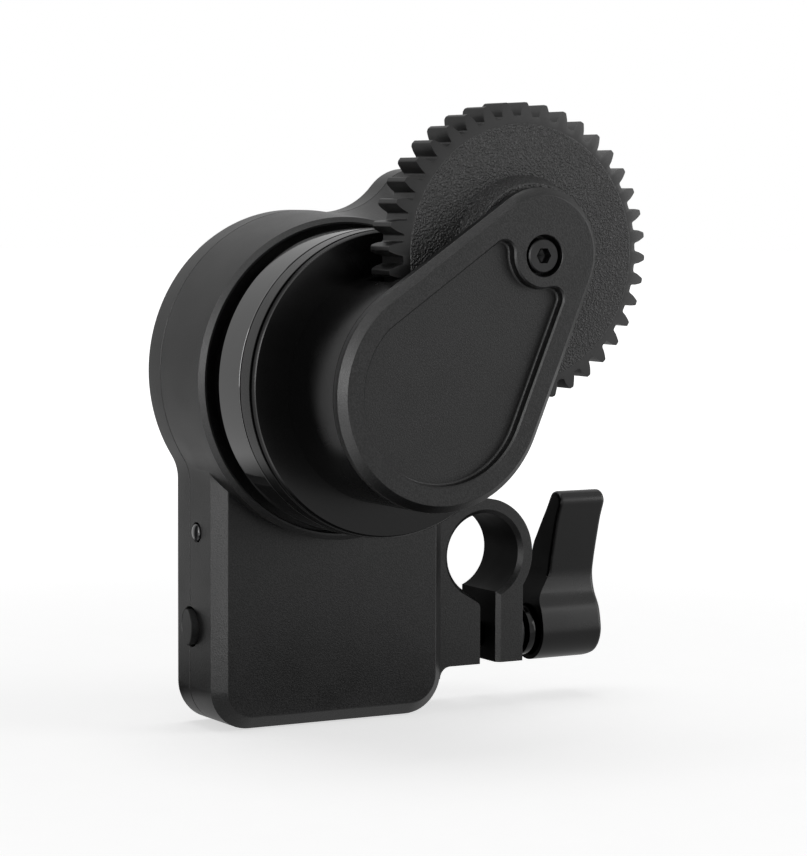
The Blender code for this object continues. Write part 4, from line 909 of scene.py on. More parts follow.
@dataclass(frozen=True)
class CircuitBoard:
    """Green solder mask over copper tracks."""

    name: str = "solder_mask"
    mask: Colour = (0.008, 0.075, 0.03)
    track: Colour = (0.014, 0.13, 0.05)
    track_size: float = 0.0012
    track_height: float = 0.00002
    track_edge: tuple[float, float] = (0.06, 0.10)
    grain_share: float = 1 / 6
    roughness: tuple[float, float] = (0.3, 0.42)
    coat: float = 0.3

    def material(self) -> Material:
        """Returns the finish's material."""
        graph = Graph(self.name)
        borders = graph.cells(self.track_size, "DISTANCE_TO_EDGE")
        tracks = graph.ranged(borders, *self.track_edge, 1.0, 0.0)
        grain = graph.noise(self.track_size * self.grain_share, 2.0)
        graph.drive(
            Base_Color=graph.coloured(tracks, self.mask, self.track),
            Roughness=graph.ranged(grain, *MOST, *self.roughness),
            Normal=graph.bumped(tracks, self.track_height),
            Coat_Weight=self.coat,
        )
        return graph.material


@dataclass(frozen=True)
class Windings:
    """Enamelled copper wire wound round the stator's teeth."""

    name: str = "copper_wire"
    shadow: Colour = (0.18, 0.05, 0.02)
    copper: Colour = (0.72, 0.30, 0.13)
    wire: float = 0.00030
    wire_height: float = 0.00008
    wire_edge: tuple[float, float] = (0.1, 0.6)
    stretch: tuple[float, float, float] = (1.0, 0.3, 1.0)
    cloud_scale: float = 8.0
    roughness: tuple[float, float] = (0.25, 0.4)
    metallic: float = 0.9

    def material(self) -> Material:
        """Returns the finish's material."""
        graph = Graph(self.name)
        place = graph.placed((0.0, 0.0, 0.0), self.stretch)
        wires = graph.ranged(graph.cells(self.wire, place=place), *self.wire_edge, 1.0, 0.0)
        cloud = graph.noise(self.wire * self.cloud_scale, 3.0)
        graph.drive(
            Base_Color=graph.coloured(wires, self.shadow, self.copper),
            Roughness=graph.ranged(cloud, *MOST, *self.roughness),
            Normal=graph.bumped(wires, self.wire_height),
            Metallic=self.metallic,
        )
        return graph.material


# The unit's pieces

@dataclass
class SubAssembly:
    """Pieces that ride on one body and share a set of finishes."""

    finishes: dict[str, Material]
    body: str

    def add(self, name: str, shape: BMesh, slot: str, stands_for: Iterable[str], finish: str = "") -> Object:
        """Puts a finished piece into the scene.

        Args:
            name: The piece's name.
            shape: Its mesh, drawn about the drum's axis.
            slot: The record's material slot that it belongs to.
            stands_for: The CAD nodes that it replaces.
            finish: The finish that it has, where it isn't the slot's own.

        Returns:
            The piece's object.
        """
        bmesh.ops.translate(shape, vec=-ORIGIN, verts=shape.verts)
        made = as_object(name, settled(shape))
        made.data.shade_smooth()
        made.data.set_sharp_from_angle(angle=SMOOTH_ANGLE)
        made.data.materials.append(self.finishes[finish or slot])
        weighting = made.modifiers.new("weighting", "WEIGHTED_NORMAL")
        weighting.keep_sharp = True
        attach(made, self.body)
        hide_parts(*stands_for)
        LOG.info("%s: %d faces, on %s", name, len(made.data.polygons), self.body)
        return made


@dataclass
class Housing(SubAssembly):
    """The flat box with its round head, nose, rod clamp and rear cover."""

    body: str = "housing"
    head_radius: float = 0.0186
    head_rise: float = 0.00075
    collar_radius: float = 0.01862
    collar_bore: float = 0.01773
    collar_front: float = -0.00353
    collar_chamfer: float = 0.00056
    nose: tuple[float, float] = (0.0152, 0.0186)
    nose_radius: float = 0.0057
    nose_blend: float = 0.0090
    box_left: float = -0.01488
    box_right: float = 0.01571
    box_bottom: float = -0.04051
    box_depth: float = 0.01044
    box_corner: float = 0.0048
    box_chamfer: float = 0.0015
    neck_fillet: float = 0.0050
    wall: float = 0.0016
    parting: float = 0.0070
    seam: float = 0.00012
    seam_edge: float = 0.00005
    edge_round: float = 0.00012
    cover_chamfer: float = 0.00035
    cover_wall: float = 0.00134
    motor_room: float = 0.0136
    swivel_bore: float = 0.0090
    head_wall: tuple[float, float] = (-0.0004, 0.0012)
    board_bottom: float = -0.0346
    cavity_top: float = -0.0140
    rod_place: tuple[float, float] = (0.0219, -0.0221)
    rod_radius: float = 0.0050
    rod_chamfer: float = 0.0005
    clamp_front: float = 0.00154
    clamp_radius: float = 0.0068
    clamp_bottom: float = -0.03535
    clamp_root: float = 0.0014
    clamp_blend: float = 0.0060
    clamp_overlap: float = 0.0004
    slot: tuple[float, float] = (0.0213, 0.02375)
    slot_top: float = -0.0276
    slot_corner: float = 0.0010
    shoulder: float = math.radians(230.0)
    wall_lean: float = 0.1
    ear_right: float = 0.0274
    screw: tuple[float, float] = CLAMP_SCREW
    screw_hole: float = 0.00175
    insert_hole: float = 0.0024
    insert_length: float = 0.0042
    button: tuple[float, float] = (0.00685, -0.0290)
    button_radius: float = 0.0021
    button_hole: float = 0.0023
    button_proud: float = 0.0009
    indicator: tuple[float, float] = (0.00515, -0.0178)
    indicator_radius: float = 0.0010
    indicator_proud: float = 0.00045
    indicator_tail: float = 0.0006
    cover_screw_head: float = 0.0017
    cover_screw_shank: float = 0.0009
    cover_screw_length: float = 0.0062
    cover_screw_gap: float = 0.0001
    cover_screw_sink: float = 0.0003
    cover_screw_edge: float = 0.0001
    cover_screw_socket: tuple[float, float] = (0.0007, 0.0009)
    box_screw_inset: float = 0.0034
    head_screw_inset: float = 0.0024
    head_screw_angles: tuple[float, ...] = (math.radians(-8.0), math.radians(108.0), math.radians(178.0))
    socket_size: tuple[float, float] = (0.0084, 0.0028)
    socket_y: float = 0.0056
    socket_round_share: float = 0.55
    socket_wall: float = 0.0003
    socket_reach: tuple[float, float] = (0.0150, 0.0216)
    tongue: float = 0.0006
    bearing_boss: tuple[float, float] = (0.0042, 0.0016)
    bearing_room: tuple[float, float] = (0.0031, 0.00195)
    corner_steps: int = 14
    head_steps: int = 120

    @property
    def head_centre(self) -> Vector:
        """The centre of the head's circle."""
        return Vector((0.0, self.head_rise))

    @property
    def nose_centre(self) -> Vector:
        """The centre of the nose's round end."""
        return Vector(self.nose)

    @property
    def rod_centre(self) -> Vector:
        """The centre of the rod's bore."""
        return Vector(self.rod_place)

    def nose_points(self) -> tuple[Outline, float, float]:
        """Draws the nose with the blends at its root.

        Returns:
            The points from the head's right to its left, and the head's angles where they start and end.
        """
        reach = self.head_radius + self.nose_blend
        nose_reach = self.nose_radius + self.nose_blend
        right = meeting_point(self.head_centre, reach, self.nose_centre, nose_reach, -1)
        left = meeting_point(self.head_centre, reach, self.nose_centre, nose_reach, 1)
        points = arc(
            right,
            self.nose_blend,
            bearing(right, self.head_centre),
            bearing(right, self.nose_centre),
            self.corner_steps,
            -1,
        )
        tip = (bearing(self.nose_centre, right), bearing(self.nose_centre, left))
        points += arc(self.nose_centre, self.nose_radius, *tip, self.corner_steps * 2)
        points += arc(
            left,
            self.nose_blend,
            bearing(left, self.nose_centre),
            bearing(left, self.head_centre),
            self.corner_steps,
            -1,
        )
        return points, bearing(self.head_centre, right), bearing(self.head_centre, left)

    def neck(self, side_x: float, outward: int) -> Vector:
        """Finds the centre of the fillet between a side of the box and the head.

        Args:
            side_x: The side's X.
            outward: 1 for the right side and -1 for the left.

        Returns:
            The centre.
        """
        x = side_x + self.neck_fillet * outward
        reach = self.head_radius + self.neck_fillet
        return Vector((x, self.head_rise - math.sqrt(reach**2 - x**2)))

    def box_points(self) -> tuple[Outline, float, float]:
        """Draws the box below the head.

        Returns:
            The points from the left fillet to the right one, and the head's angles where they start and end.
        """
        left = self.neck(self.box_left, -1)
        right = self.neck(self.box_right, 1)
        radius = self.box_corner
        lower_left = Vector((self.box_left + radius, self.box_bottom + radius))
        lower_right = Vector((self.box_right - radius, self.box_bottom + radius))
        start = bearing(self.head_centre, left)
        end = bearing(self.head_centre, right)
        points = arc(left, self.neck_fillet, bearing(left, self.head_centre), 0.0, self.corner_steps, -1)
        points += arc(lower_left, radius, 2 * QUARTER, 3 * QUARTER, self.corner_steps)
        points += arc(lower_right, radius, 3 * QUARTER, TURN, self.corner_steps)
        points += arc(
            right, self.neck_fillet, 2 * QUARTER, bearing(right, self.head_centre), self.corner_steps, -1
        )
        return points, start, end

    def head(self) -> BMesh:
        """Returns the head as a fairing from its rear outline, nose included, to the collar's circle."""
        nose, start, end = self.nose_points()
        outline = nose + arc(self.head_centre, self.head_radius, end, start, self.head_steps)
        shape = prism(outline, self.collar_front, self.parting - self.seam / 2)
        for vert in shape.verts:
            if abs(vert.co.y - self.collar_front) < WELD:
                direction = Vector((vert.co.x, vert.co.z)).normalized() * self.collar_radius
                vert.co = (direction.x, self.collar_front, direction.y)
        bevelled(shape, self.collar_chamfer, at_y(self.collar_front))
        return bevelled(shape, self.seam_edge, at_y(self.parting - self.seam / 2), 1)

    def box(self) -> BMesh:
        """Returns the front of the box with its wide chamfer."""
        points, _, _ = self.box_points()
        shape = prism(points, 0.0, self.parting - self.seam / 2)
        bevelled(shape, self.box_chamfer, at_y(0.0))
        bevelled(shape, self.edge_round, at_y(0.0), 2)
        return bevelled(shape, self.seam_edge, at_y(self.parting - self.seam / 2), 1)

    def clamp_outline(self) -> Outline:
        """Returns the rod clamp's outline, with its open bore and slot."""
        root = Vector((self.box_right + self.clamp_root, self.clamp_bottom - self.clamp_root))
        slot_left, slot_right = self.slot
        corner = Vector((slot_left - self.slot_corner, self.slot_top - self.slot_corner))
        shoulder = polar(self.rod_centre, self.rod_radius, self.shoulder)
        slope = bearing(shoulder, polar(corner, self.slot_corner, QUARTER))
        ear_bore = -math.acos((slot_right - self.rod_centre.x) / self.rod_radius)
        ear_ring = -math.acos((self.ear_right - self.rod_centre.x) / self.clamp_radius)
        blend = meeting_point(
            self.rod_centre,
            self.clamp_radius + self.clamp_blend,
            self.head_centre,
            self.head_radius + self.clamp_blend,
            -1,
        )
        blend_start = bearing(blend, self.rod_centre)
        blend_end = bearing(blend, self.head_centre)
        inner = self.box_right - self.clamp_overlap
        points = [Vector((inner, root.y))]
        points += arc(root, self.clamp_root, 2 * QUARTER, QUARTER, self.corner_steps, -1)
        points.append(Vector((slot_left, self.clamp_bottom)))
        points += arc(corner, self.slot_corner, 0.0, slope + QUARTER, self.corner_steps)
        points += arc(self.rod_centre, self.rod_radius, self.shoulder, ear_bore, SMALL_CIRCLE_STEPS * 2, -1)
        points.append(Vector((slot_right, self.clamp_bottom)))
        points.append(Vector((self.ear_right, self.clamp_bottom)))
        end = bearing(self.rod_centre, blend)
        points += arc(self.rod_centre, self.clamp_radius, ear_ring, end, SMALL_CIRCLE_STEPS)
        points += arc(blend, self.clamp_blend, blend_start, blend_end, self.corner_steps, -1)
        points.append(Vector((inner, points[-1].y)))
        return points

    def clamp(self) -> BMesh:
        """Returns the rod clamp with its chamfers."""
        shape = prism(self.clamp_outline(), self.clamp_front, self.box_depth)

        def mouth(edge: BMEdge) -> bool:
            """Returns whether an edge is on the bore's rim or on the slot's right side."""
            if abs(edge.verts[0].co.y - edge.verts[1].co.y) > WELD:
                return False
            reaches = [(Vector((vert.co.x, vert.co.z)) - self.rod_centre).length for vert in edge.verts]
            on_bore = all(abs(reach - self.rod_radius) < WELD for reach in reaches)
            return on_bore or all(abs(vert.co.x - self.slot[1]) < WELD for vert in edge.verts)

        bevelled(shape, self.rod_chamfer, mouth)

        def rim(edge: BMEdge) -> bool:
            """Returns whether an edge is on the clamp's outer rim, off the bore and the slot."""
            level = at_y(self.clamp_front, self.box_depth)(edge)
            outer = all(
                (Vector((vert.co.x, vert.co.z)) - self.rod_centre).length > self.clamp_radius - WELD * 10
                for vert in edge.verts
            )
            ear_left = self.slot[1] + self.rod_chamfer
            return level and outer and all(vert.co.x > ear_left for vert in edge.verts)

        return bevelled(shape, self.edge_round, rim, 2)

    def screw_places(self) -> list[Vector]:
        """Returns where the rear cover's screws stand."""
        inset = self.box_screw_inset
        places = [
            Vector((self.box_left + inset, self.box_bottom + inset)),
            Vector((self.box_right - inset, self.box_bottom + inset)),
        ]
        reach = self.head_radius - self.head_screw_inset
        return places + [polar(self.head_centre, reach, angle) for angle in self.head_screw_angles]

    def screw_hole_shape(self, place: Vector) -> BMesh:
        """Draws the countersunk hole for a cover screw.

        Args:
            place: Where the screw stands.

        Returns:
            The cutter.
        """
        face = self.box_depth - self.cover_screw_sink
        wide = self.cover_screw_head + self.cover_screw_gap
        narrow = self.cover_screw_shank + self.cover_screw_gap
        tip = face - self.cover_screw_length - self.cover_screw_sink
        cone = face - (wide - narrow)
        profile = [(0.0, tip), (narrow, tip), (narrow, cone), (wide, face), (wide, self.box_depth + OVERRUN)]
        profile.append((0.0, self.box_depth + OVERRUN))
        return moved(turned(profile, SMALL_CIRCLE_STEPS), place.x, 0.0, place.y)

    def socket_block(self, gap: float, inner: float, outer: float) -> BMesh:
        """Draws a block along the nose, the size of the control socket and a gap round it.

        Args:
            gap: The gap.
            inner: How far its inner end is from the drum's axis.
            outer: How far its outer end is.

        Returns:
            The block.
        """
        width, height = self.socket_size
        radius = (height / 2 + gap) * self.socket_round_share
        outline = rounded_box(inner, outer, -height / 2 - gap, height / 2 + gap, WELD * 2, 1)
        shape = prism(outline, self.socket_y - width / 2 - gap, self.socket_y + width / 2 + gap)

        def long_edge(edge: BMEdge) -> bool:
            """Returns whether an edge runs along the nose."""
            return abs(edge.verts[0].co.x - edge.verts[1].co.x) > (outer - inner) / 2

        bevelled(shape, radius, long_edge, 5)
        return swung(shape, bearing(AXIS, self.nose_centre))

    def hollow(self) -> BMesh:
        """Returns the room inside the head, as one turned shape."""
        front, back = self.head_wall
        rear = self.parting + OVERRUN
        bore_edge = self.collar_bore + self.edge_round
        profile = [
            (0.0, self.collar_front - OVERRUN),
            (bore_edge, self.collar_front - OVERRUN),
            (bore_edge, self.collar_front),
            (self.collar_bore, self.collar_front + self.edge_round),
            (self.collar_bore, front),
            (self.swivel_bore, front),
            (self.swivel_bore, back),
            (self.motor_room, back),
            (self.motor_room, rear),
            (0.0, rear),
        ]
        return turned(profile)

    def box_room(self, front: float, back: float) -> BMesh:
        """Draws the room inside the box.

        Args:
            front: Its front Y.
            back: Its rear Y.

        Returns:
            The cutter.
        """
        left = self.box_left + self.wall
        right = self.box_right - self.wall
        radius = self.box_corner - self.wall
        bottom = self.board_bottom - PLAY
        outline = rounded_box(left, right, bottom, self.cavity_top, radius, self.corner_steps)
        return prism(outline, front, back)

    def side_hole(self, radius: float, y: float, z: float) -> BMesh:
        """Draws a round hole through the left wall with a small flare at its mouth.

        Args:
            radius: The hole's radius.
            y: Its Y.
            z: Its height.

        Returns:
            The cutter.
        """
        flare = self.edge_round
        inner = self.box_left + self.wall + OVERRUN
        profile = [
            (0.0, self.box_left - OVERRUN),
            (radius + flare, self.box_left - OVERRUN),
            (radius + flare, self.box_left),
            (radius, self.box_left + flare),
            (radius, inner),
            (0.0, inner),
        ]
        return moved(turned(profile, SMALL_CIRCLE_STEPS, Axis.X), 0.0, y, z)

    def front_shell(self) -> None:
        """Makes the housing's front."""
        shape = joined(self.head(), self.box(), self.clamp())
        screw_y, screw_z = self.screw
        slot_left = self.slot[0]
        ear_hole = rod(self.screw_hole, slot_left + self.screw_hole / 2, self.ear_right + OVERRUN)
        insert_hole = rod(self.insert_hole, slot_left - self.insert_length - PLAY, slot_left + LAP)
        reach = self.nose_centre.length + self.nose_radius + OVERRUN
        shape = cut(
            shape,
            self.hollow(),
            self.box_room(self.wall, self.parting + OVERRUN),
            self.side_hole(self.button_hole, *self.button),
            self.side_hole(self.indicator_radius + FIT, *self.indicator),
            self.socket_block(FIT, self.motor_room - OVERRUN, reach),
            moved(turned(ear_hole, SMALL_CIRCLE_STEPS, Axis.X), 0.0, screw_y, screw_z),
            moved(turned(insert_hole, SMALL_CIRCLE_STEPS, Axis.X), 0.0, screw_y, screw_z),
            *[self.screw_hole_shape(place) for place in self.screw_places()],
        )
        made = self.add("shell_with_clamp", shape, "black_anodised", ["front_shell"])
        # The bore's and slot's walls get a darker, nearly unreflective copy of the anodising: painted shade
        # in the recess
        made.data.materials.append(self.finishes["painted_shade_anodised"])
        for face in made.data.polygons:
            middle = face.center + ORIGIN
            reach = (Vector((middle.x, middle.z)) - self.rod_centre).length
            across = self.slot[0] < middle.x + WELD < self.slot[1] + WELD * 2
            in_slot = across and middle.z < self.slot_top
            in_bore = reach < self.rod_radius + self.edge_round
            if (in_slot or in_bore) and abs(face.normal.y) < self.wall_lean:
                face.material_index = 1

    def rear_cover(self) -> None:
        """Makes the rear cover with its chamfered edge and the motor's bearing seat."""
        front = self.parting + self.seam / 2
        box, box_start, box_end = self.box_points()
        nose, nose_start, nose_end = self.nose_points()
        outline = box
        outline += arc(self.head_centre, self.head_radius, box_end, nose_start, self.head_steps // 4)
        outline += nose
        outline += arc(self.head_centre, self.head_radius, nose_end, box_start, self.head_steps // 2)
        shape = prism(outline, front, self.box_depth)
        bevelled(shape, self.cover_chamfer, at_y(self.box_depth), 3)
        bevelled(shape, self.seam_edge, at_y(front), 1)
        inside = self.box_depth - self.cover_wall
        notch = self.clamp_outline()
        lower = min(point.y for point in notch) - PLAY
        upper = max(point.y for point in notch if point.x < self.box_right) + PLAY
        notch_left = self.box_right - self.clamp_overlap - PLAY
        through = (front - OVERRUN, self.box_depth + OVERRUN)
        boss_radius, boss_height = self.bearing_boss
        room_radius, room_depth = self.bearing_room
        boss_front = inside - boss_height
        reach = self.nose_centre.length + self.nose_radius + OVERRUN
        shape = cut(
            shape,
            block((notch_left, self.rod_centre.x), through, (lower, upper)),
            self.box_room(front - OVERRUN, inside),
            turned(rod(self.motor_room, front - OVERRUN, inside)),
        )
        shape = joined(shape, turned(rod(boss_radius, boss_front, inside + LAP), SMALL_CIRCLE_STEPS))
        shape = cut(
            shape,
            turned(rod(room_radius, boss_front - OVERRUN, boss_front + room_depth), SMALL_CIRCLE_STEPS),
            self.side_hole(self.button_hole, *self.button),
            self.socket_block(FIT, self.motor_room - OVERRUN, reach),
            *[self.screw_hole_shape(place) for place in self.screw_places()],
        )
        self.add("cover_plate", shape, "black_anodised", ["rear_cover"])

    def cover_screws(self) -> None:
        """Makes the countersunk screws of the rear cover."""
        face = self.box_depth - self.cover_screw_sink
        head = self.cover_screw_head
        shank = self.cover_screw_shank
        tip = face - self.cover_screw_length
        edge = self.cover_screw_edge
        key, key_depth = self.cover_screw_socket
        for index, place in enumerate(self.screw_places(), start=1):
            profile = [(0.0, tip), (shank - edge, tip), (shank, tip + edge), (shank, face - (head - shank))]
            profile += [(head, face - edge), (head - edge, face), (0.0, face)]
            shape = turned(profile, SMALL_CIRCLE_STEPS)
            shape = cut(shape, hex_socket(key, face - key_depth, face + OVERRUN))
            moved(shape, place.x, 0.0, place.y)
            self.add(f"countersunk_{index}", shape, "black_steel", [f"cover_screw_{index}"])

    def indicator_window(self) -> None:
        """Makes the domed light window in the left wall."""
        radius = self.indicator_radius
        face = self.box_left
        dome = []
        for step in range(self.corner_steps + 1):
            angle = QUARTER * step / self.corner_steps
            dome.append((radius * math.sin(angle), face - self.indicator_proud * math.cos(angle)))
        inner = self.box_left + self.wall + self.indicator_tail
        shape = turned(dome + [(radius, inner), (0.0, inner)], SMALL_CIRCLE_STEPS, Axis.X)
        moved(shape, 0.0, *self.indicator)
        self.add("light_window", shape, "smoked_lens", ["indicator_lens"])

    def control_socket(self) -> None:
        """Makes the connector in the nose, a thin shell with a tongue."""
        inner, mouth = self.socket_reach
        width, height = self.socket_size
        base = inner + height / 2
        shape = self.socket_block(0.0, inner, mouth)
        shape = cut(shape, self.socket_block(-self.socket_wall, base, mouth + OVERRUN))
        half = (width - height) / 2
        tongue = block(
            (base - self.socket_wall, mouth - self.tongue),
            (self.socket_y - half, self.socket_y + half),
            (-self.tongue / 2, self.tongue / 2),
        )
        shape = joined(shape, swung(tongue, bearing(AXIS, self.nose_centre)))
        self.add("nose_connector", shape, "bright_steel", ["control_socket"])

    def build(self) -> None:
        """Makes every piece of the housing."""
        self.front_shell()
        self.rear_cover()
        self.cover_screws()
        self.indicator_window()
        self.control_socket()


def hex_socket(radius: float, bottom: float, top: float) -> BMesh:
    """Draws the hole for a hexagon key, with a drilled cone at its end.

    Args:
        radius: The distance from its middle to a corner.
        bottom: The Y of its deeper end, whichever side that is on.
        top: The Y of its open end.

    Returns:
        The cutter.
    """
    inward = 1 if bottom > top else -1
    drill = radius * HEXAGON_FLAT_SHARE
    deepest = bottom + inward * radius * HEXAGON_CONE_SHARE
    profile = [(0.0, deepest), (drill, bottom), (radius, bottom), (radius, top), (0.0, top)]
    shape = turned(profile, HEXAGON_SIDES)
    return swung(shape, TURN / HEXAGON_SIDES / 2)


@dataclass
class PushButton(SubAssembly):
    """The round button in the left wall, whose face slopes back to the wall."""

    housing: Housing = field(default_factory=lambda: Housing({}))
    body: str = "button"
    edge: float = 0.00012
    slope: float = math.radians(11.0)
    flange: tuple[float, float, float] = (0.0005, 0.0038, 0.0058)
    inner_gap: float = 0.0003

    def build(self) -> None:
        """Makes the button with its sloping face and the flange that keeps it in."""
        radius = self.housing.button_radius
        face = self.housing.box_left - self.housing.button_proud
        inner = self.housing.box_left + self.housing.wall + self.inner_gap
        shape = turned(rod(radius, face - OVERRUN, inner + LAP), SMALL_CIRCLE_STEPS * 2, Axis.X)
        front_edge = Vector((face, -radius, 0.0))
        outward = Vector((-math.cos(self.slope), math.sin(self.slope), 0.0))
        parts = shape.verts[:] + shape.edges[:] + shape.faces[:]
        section = bmesh.ops.bisect_plane(
            shape, geom=parts, plane_co=front_edge, plane_no=outward, clear_outer=True, dist=WELD
        )
        rim = [item for item in section["geom_cut"] if isinstance(item, BMEdge)]
        bmesh.ops.holes_fill(shape, edges=rim)
        settled(shape)

        def on_face(edge: BMEdge) -> bool:
            """Returns whether an edge is on the sloping face's rim."""
            return all(abs((vert.co - front_edge).dot(outward)) < WELD * 2 for vert in edge.verts)

        bevelled(shape, self.edge, on_face, 3)
        thickness, depth, height = self.flange
        plate = block((inner, inner + thickness), (-depth / 2, depth / 2), (-height / 2, height / 2))
        shape = joined(shape, plate)
        moved(shape, 0.0, *self.housing.button)
        self.add("side_button", shape, "dark_plastic", ["push_button"], "button_cap")


@dataclass
class Arm(SubAssembly):
    """The drum with its hub and the teardrop cover that carries the lens gear."""

    body: str = "arm"
    gear_centre: tuple[float, float] = GEAR_CENTRE
    drum_radius: float = 0.01745
    drum_back: float = -0.0049
    drum_chamfer: float = 0.0010
    drum_front: float = -0.0109
    core_radius: float = 0.01515
    seam: float = 0.0002
    disc_radius: float = 0.0174
    rim_radius: float = 0.01705
    groove: tuple[float, float] = (-0.01368, -0.01325)
    disc_front: float = -0.0141
    hub_radius: float = 0.01299
    hub_centre: tuple[float, float] = (-0.00015, -0.00045)
    hub_front: float = -0.02460
    post_foot: float = 0.0005
    plate_front: float = -0.02638
    plate_back: float = -0.02467
    plate_chamfer: float = 0.00086
    tip_radius: float = 0.00736
    pocket_depth: float = 0.00125
    pocket_margin: float = 0.00213
    pocket_bite: float = 0.0038
    pocket_corner: float = 0.0013
    pocket_fillet: float = 0.00025
    pocket_lip: float = 0.00018
    pocket_lip_overlap: float = 0.000025
    pocket_side: float = math.radians(134.0)
    screw_shift: tuple[float, float] = (0.00003, -0.00018)
    screw_bore: float = 0.00233
    screw_head: float = 0.0019
    screw_head_height: float = 0.0019
    screw_shank: float = 0.0010
    screw_length: float = 0.0050
    screw_sink: float = 0.00015
    screw_chamfer: float = 0.00014
    screw_tip: float = 0.0002
    screw_socket: tuple[float, float] = (0.00095, 0.0011)
    slot: tuple[float, float] = (-0.0222, -0.0165)
    slot_radius: float = 0.0173
    boss_room: float = 0.0092
    boss: tuple[float, float] = (0.0032, 0.0013)
    pinion_room: float = 0.00418
    tunnel: float = 0.0022
    bearing_room: float = 0.0031
    edge_round: float = 0.00012
    base_screws: tuple[float, float, int] = (0.0088, math.radians(200.0), 3)
    base_screw_hole: tuple[float, float] = (0.0011, -0.0130)
    arc_steps: int = 96

    @property
    def gear_point(self) -> Vector:
        """The lens gear's axis."""
        return Vector(self.gear_centre)

    @property
    def hub_point(self) -> Vector:
        """The centre of the hub's round end."""
        return Vector(self.hub_centre)

    def tangents(self, big: float, tip: float) -> tuple[float, float]:
        """Finds where the sides of a teardrop touch its round ends.

        Args:
            big: The radius about the hub.
            tip: The radius about the gear's axis.

        Returns:
            The right side's angle and the left side's.
        """
        spread = math.acos((big - tip) / (self.gear_point - self.hub_point).length)
        direction = bearing(self.hub_point, self.gear_point)
        return direction - spread, direction + spread

    def teardrop(self, big: float, tip: float) -> Outline:
        """Draws a teardrop.

        Args:
            big: The radius about the hub.
            tip: The radius about the gear's axis.

        Returns:
            Its points.
        """
        right, left = self.tangents(big, tip)
        points = arc(self.gear_point, tip, right, left, self.arc_steps // 2)
        return points + arc(self.hub_point, big, left, right, self.arc_steps)

    def pocket_corner_place(self, start: Vector, end: Vector, side: int) -> tuple[Vector, Vector]:
        """Finds the round corner between a side of the pocket and the bite.

        Args:
            start: The lower end of the side.
            end: Its upper end.
            side: 1 where the pocket lies left of the side, and -1 where it lies right.

        Returns:
            The corner's centre, and where it meets the side.
        """
        along = (end - start).normalized()
        inwards = Vector((-along.y, along.x)) * side
        shifted = start + inwards * self.pocket_corner
        nearest = (self.gear_point - shifted).dot(along)
        off = (self.gear_point - shifted - along * nearest).length
        reach = self.pocket_bite + self.pocket_corner
        centre = shifted + along * (nearest - math.sqrt(reach**2 - off**2))
        return centre, centre - inwards * self.pocket_corner

    def pocket_outline(self) -> Outline:
        """Returns the pocket's outline: the teardrop drawn inwards, with a bite round the screw."""
        margin = self.plate_chamfer + self.pocket_margin
        big = self.hub_radius - margin
        tip = self.tip_radius - margin
        right, left = self.tangents(big, tip)
        gear = self.gear_point
        right_side = (polar(self.hub_point, big, right), polar(gear, tip, right))
        left_side = (polar(self.hub_point, big, self.pocket_side), polar(gear, tip, left))
        right_corner, right_foot = self.pocket_corner_place(*right_side, 1)
        left_corner, left_foot = self.pocket_corner_place(*left_side, -1)
        steps = self.arc_steps // 8
        points = arc(self.hub_point, big, self.pocket_side, right, self.arc_steps)
        turn = (bearing(right_corner, right_foot), bearing(right_corner, gear))
        points += arc(right_corner, self.pocket_corner, *turn, steps)
        bite = (bearing(gear, right_corner), bearing(gear, left_corner))
        points += arc(gear, self.pocket_bite, *bite, steps, -1)
        turn = (bearing(left_corner, gear), bearing(left_corner, left_foot))
        points += arc(left_corner, self.pocket_corner, *turn, steps)
        return points

    def at_screw(self, shape: BMesh) -> BMesh:
        """Returns a shape moved to the place of the screw that shows in the cover."""
        place = self.gear_point + Vector(self.screw_shift)
        return moved(shape, place.x, 0.0, place.y)

    def at_gear(self, shape: BMesh) -> BMesh:
        """Returns a shape moved to the gear's axis."""
        return moved(shape, self.gear_point.x, 0.0, self.gear_point.y)

    def ring(self) -> None:
        """Makes the satin band round the drum."""
        radius = self.drum_radius
        profile = [
            (self.core_radius, self.drum_front),
            (radius, self.drum_front),
            (radius, self.drum_back - self.drum_chamfer),
            (radius - self.drum_chamfer / 2, self.drum_back),
            (self.core_radius, self.drum_back),
            (self.core_radius, self.drum_front),
        ]
        shape = turned(eased(profile, self.edge_round), FINE_CIRCLE_STEPS)
        self.add("drum_band", shape, "satin_black", ["drum_ring"])

